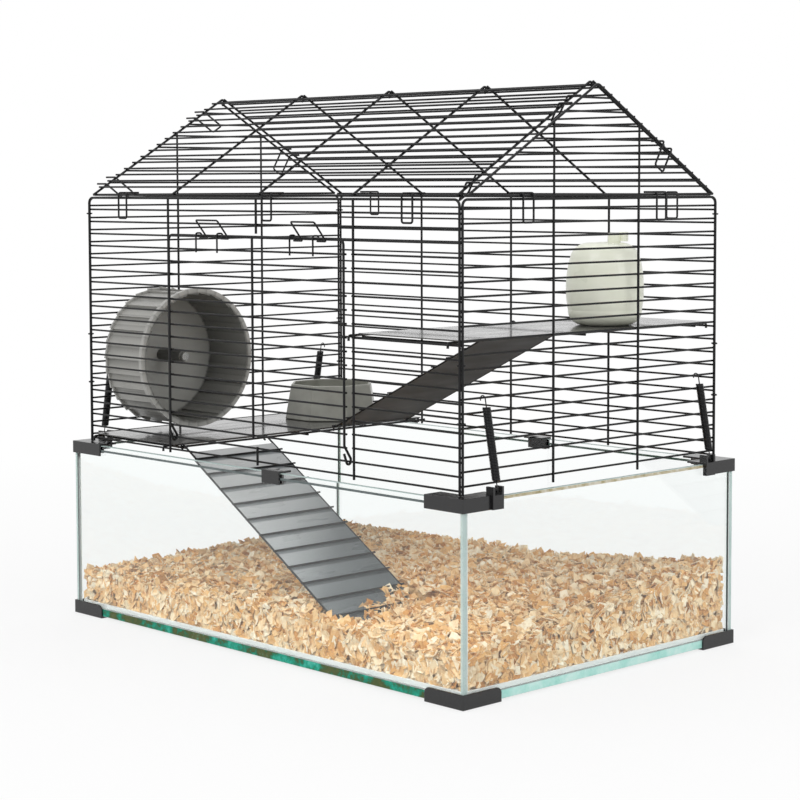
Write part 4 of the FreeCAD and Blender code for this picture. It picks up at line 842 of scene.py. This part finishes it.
for vert in heap.verts:
    if vert.normal.z > ON_TOP and vert.normal.dot(RAMP_UP) < ON_RAMP:
        vert.co.z += bumps(vert.co, LUMPS)
ground = heap.copy()
heap = even_net(heap, NET_SIZE)
heap.normal_update()
for vert in heap.verts:
    rough = bumps(vert.co, CRUMBS)
    sunk = SINK + SIDE_SINK * (1 - abs(vert.normal.z))
    vert.co -= vert.normal * (sunk - ROUGHNESS * rough)
    for axis in range(3):
        vert.co[axis] = min(max(vert.co[axis], bed_low[axis] + SINK / 2), bed_high[axis] - SINK / 2)
print("heap faces", len(heap.faces))
keep(heap, "shavings_heap", heap_finish, "tank", ("bedding",))

# %% [markdown]
# A flake is a strip of shaving: a small grid, curled along its length, ragged at its ends, with the
# thickness of thick paper. Six of them are enough, because each copy is turned and stretched anew.

# %% Flakes
FLAKE_KINDS, FLAKE_THICKNESS = 6, 0.045
dice = random.Random(11)
flake_box = bpy.data.collections.new("flakes")
for index in range(FLAKE_KINDS):
    chip = bmesh.new()
    bmesh.ops.create_grid(chip, x_segments=3, y_segments=1, size=0.5)
    curl = dice.uniform(0.5, 2.2)
    wide = dice.uniform(0.45, 0.75)
    for vert in chip.verts:
        along = vert.co.x + dice.uniform(-0.09, 0.09)
        across = vert.co.y * wide * (1 + dice.uniform(-0.3, 0.3))
        angle = along * curl
        lift = (1 - math.cos(angle)) / curl + across * dice.uniform(-0.15, 0.15)
        vert.co = Vector((math.sin(angle) / curl, across, lift))
    bmesh.ops.solidify(chip, geom=chip.faces, thickness=FLAKE_THICKNESS)
    bmesh.ops.recalc_face_normals(chip, faces=chip.faces)
    mesh = bpy.data.meshes.new(f"flake_{index}")
    chip.to_mesh(mesh)
    chip.free()
    mesh.materials.append(shavings.material)
    flake_box.objects.link(bpy.data.objects.new(mesh.name, mesh))

# %% [markdown]
# Strewing. A bed is poured, so no flake is placed by hand. A node group scatters points on a ground,
# sets a flake on each and turns it at random, and the result is kept as one plain mesh. Near a wall
# the corners are eased back along a curve that never quite reaches it.


# %% Strewing
SMALLEST, LARGEST = (0.6, 0.6, 0.6), (1.4, 1.3, 1.2)
PRESS = 4.0 * MM
AT_WALL = 0.99


def strewer(name, density, seed, tilt, size):
    """A node group that strews flakes on a ground."""
    group = bpy.data.node_groups.new(name, "GeometryNodeTree")
    group.interface.new_socket("Geometry", in_out="INPUT", socket_type="NodeSocketGeometry")
    group.interface.new_socket("Geometry", in_out="OUTPUT", socket_type="NodeSocketGeometry")

    def node(kind, **sockets):
        made = group.nodes.new(kind)
        for socket, number in sockets.items():
            made.inputs[socket.replace("_", " ")].default_value = number
        return made

    points = node("GeometryNodeDistributePointsOnFaces", Density=density, Seed=seed)
    chips = node("GeometryNodeCollectionInfo", Collection=flake_box)
    chips.inputs["Separate Children"].default_value = True
    chips.inputs["Reset Children"].default_value = True
    spin = node("FunctionNodeRandomValue", Seed=seed + 1)
    spin.data_type = "FLOAT_VECTOR"
    spin.inputs["Min"].default_value = (-tilt, -tilt, -math.pi)
    spin.inputs["Max"].default_value = (tilt, tilt, math.pi)
    as_turn = node("FunctionNodeEulerToRotation")
    turn = node("FunctionNodeRotateRotation")
    turn.rotation_space = "LOCAL"
    grow = node("FunctionNodeRandomValue", Seed=seed + 2)
    grow.data_type = "FLOAT_VECTOR"
    grow.inputs["Min"].default_value = [size * share for share in SMALLEST]
    grow.inputs["Max"].default_value = [size * share for share in LARGEST]
    copies = node("GeometryNodeInstanceOnPoints")
    copies.inputs["Pick Instance"].default_value = True
    real = node("GeometryNodeRealizeInstances")
    for start, end in (
        (node("NodeGroupInput").outputs[0], points.inputs["Mesh"]),
        (points.outputs["Points"], copies.inputs["Points"]),
        (chips.outputs[0], copies.inputs["Instance"]),
        (spin.outputs["Value"], as_turn.inputs[0]),
        (points.outputs["Rotation"], turn.inputs["Rotation"]),
        (as_turn.outputs[0], turn.inputs["Rotate By"]),
        (turn.outputs[0], copies.inputs["Rotation"]),
        (grow.outputs["Value"], copies.inputs["Scale"]),
        (copies.outputs[0], real.inputs[0]),
        (real.outputs[0], node("NodeGroupOutput").inputs[0]),
    ):
        group.links.new(start, end)
    return group


def bend_back(flakes, low, high):
    """Bend every corner that comes near a wall of the room back into it."""
    for vert in flakes.vertices:
        for axis in range(3):
            for wall, way in ((high[axis], 1), (low[axis], -1)):
                over = (vert.co[axis] - wall) * way + PRESS
                if over > 0:
                    vert.co[axis] = wall - way * PRESS * math.exp(-over / PRESS)


def strewn(ground, name, body, **setting):
    """Strew flakes on a ground and keep the result as one plain mesh."""
    mesh = bpy.data.meshes.new(name)
    ground.to_mesh(mesh)
    ground.free()
    bare = bpy.data.objects.new(name + "_ground", mesh)
    scene.collection.objects.link(bare)
    modifier = bare.modifiers.new("strew", "NODES")
    modifier.node_group = strewer(name, **setting)
    bpy.context.view_layer.update()
    seen = bare.evaluated_get(bpy.context.evaluated_depsgraph_get())
    flakes = bpy.data.meshes.new_from_object(seen)
    flakes.name = name
    bpy.data.objects.remove(bare)
    flakes.materials.clear()
    flakes.materials.append(shavings.material)
    bend_back(flakes, room_low, room_high)
    piece = bpy.data.objects.new(name, flakes)
    scene.collection.objects.link(piece)
    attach(piece, body)
    print(name, "faces", len(flakes.polygons))


def part_of(whole, wanted):
    """A copy of a form with only the wanted faces."""
    form = whole.copy()
    form.normal_update()
    bmesh.ops.delete(form, geom=[face for face in form.faces if not wanted(face)], context="FACES")
    return form


def at_glass(face):
    """Whether a face of the ground stands at a pane, above the bead."""
    spot = face.calc_center_median()
    near = max(abs(spot.x) / bed_high.x, abs(spot.y) / bed_high.y)
    return abs(face.normal.z) < UPRIGHT and near > AT_WALL and spot.z > BEAD_TOP


# %% [markdown]
# The top gets large flakes and a crumb of small ones, the sides get flakes that lean on the glass,
# and the groove under the ramp gets small ones that lie flat, so that the ramp doesn't cut them.

# %% Grounds and flakes
GLASS_GAP, BASE_GAP, HEADROOM = 0.1, 0.2, 20
room_low = bed_low + Vector((GLASS_GAP, GLASS_GAP, BASE_GAP)) * MM
room_high = Vector((bed_high.x - GLASS_GAP * MM, bed_high.y - GLASS_GAP * MM, bed_high.z + HEADROOM * MM))
top = part_of(ground, lambda face: face.normal.z > UPRIGHT and face.normal.dot(RAMP_UP) < ON_RAMP)
sides = part_of(ground, at_glass)
groove = part_of(ground, lambda face: face.normal.dot(RAMP_UP) >= ON_RAMP)
ground.free()
bmesh.ops.translate(groove, verts=groove.verts, vec=-RAMP_UP * SINK)
inward = Vector((1 - PRESS / bed_high.x, 1 - PRESS / bed_high.y, 1))
bmesh.ops.scale(sides, vec=inward, verts=sides.verts)
strewn(top.copy(), "shavings_top", "tank", density=17000, seed=3, tilt=0.6, size=15 * MM)
strewn(top, "shavings_loose", "tank", density=28000, seed=8, tilt=0.95, size=8.5 * MM)
strewn(sides, "shavings_at_glass", "tank", density=36000, seed=5, tilt=0.6, size=14 * MM)
strewn(groove, "shavings_under_ramp", "tank", density=32000, seed=21, tilt=0.1, size=9 * MM)

# %% [markdown]
# The foot of the lower ramp is buried. Its flakes lie on the ramp, deeper at the far side, and go
# with it when it swings up. Three flat patches along the foot are all the ground they need.

# %% Shavings on the ramp
PATCH_LIFT = 2
fallen = bmesh.new()
slope = Matrix.Rotation(RAMP_FALL, 4, "Y")
for start, end, near, far in ((286, 300, 0, 110), (270, 300, 40, 110), (254, 300, 78, 110)):
    patch = Matrix.Diagonal(((end - start) * MM, (far - near) * MM, 1, 1))
    middle = RAMP_DOWN * ((start + end) / 2 * MM) + Vector((0, (near + far) / 2 * MM, 0))
    raised = middle + RAMP_UP * PATCH_LIFT * MM
    place = Matrix.Translation(Vector(RAMP_HEAD) + raised) @ slope @ patch
    bmesh.ops.create_grid(fallen, x_segments=1, y_segments=1, size=0.5, matrix=place)
strewn(fallen, "shavings_on_ramp", "lower_ramp", density=50000, seed=17, tilt=0.7, size=13 * MM)
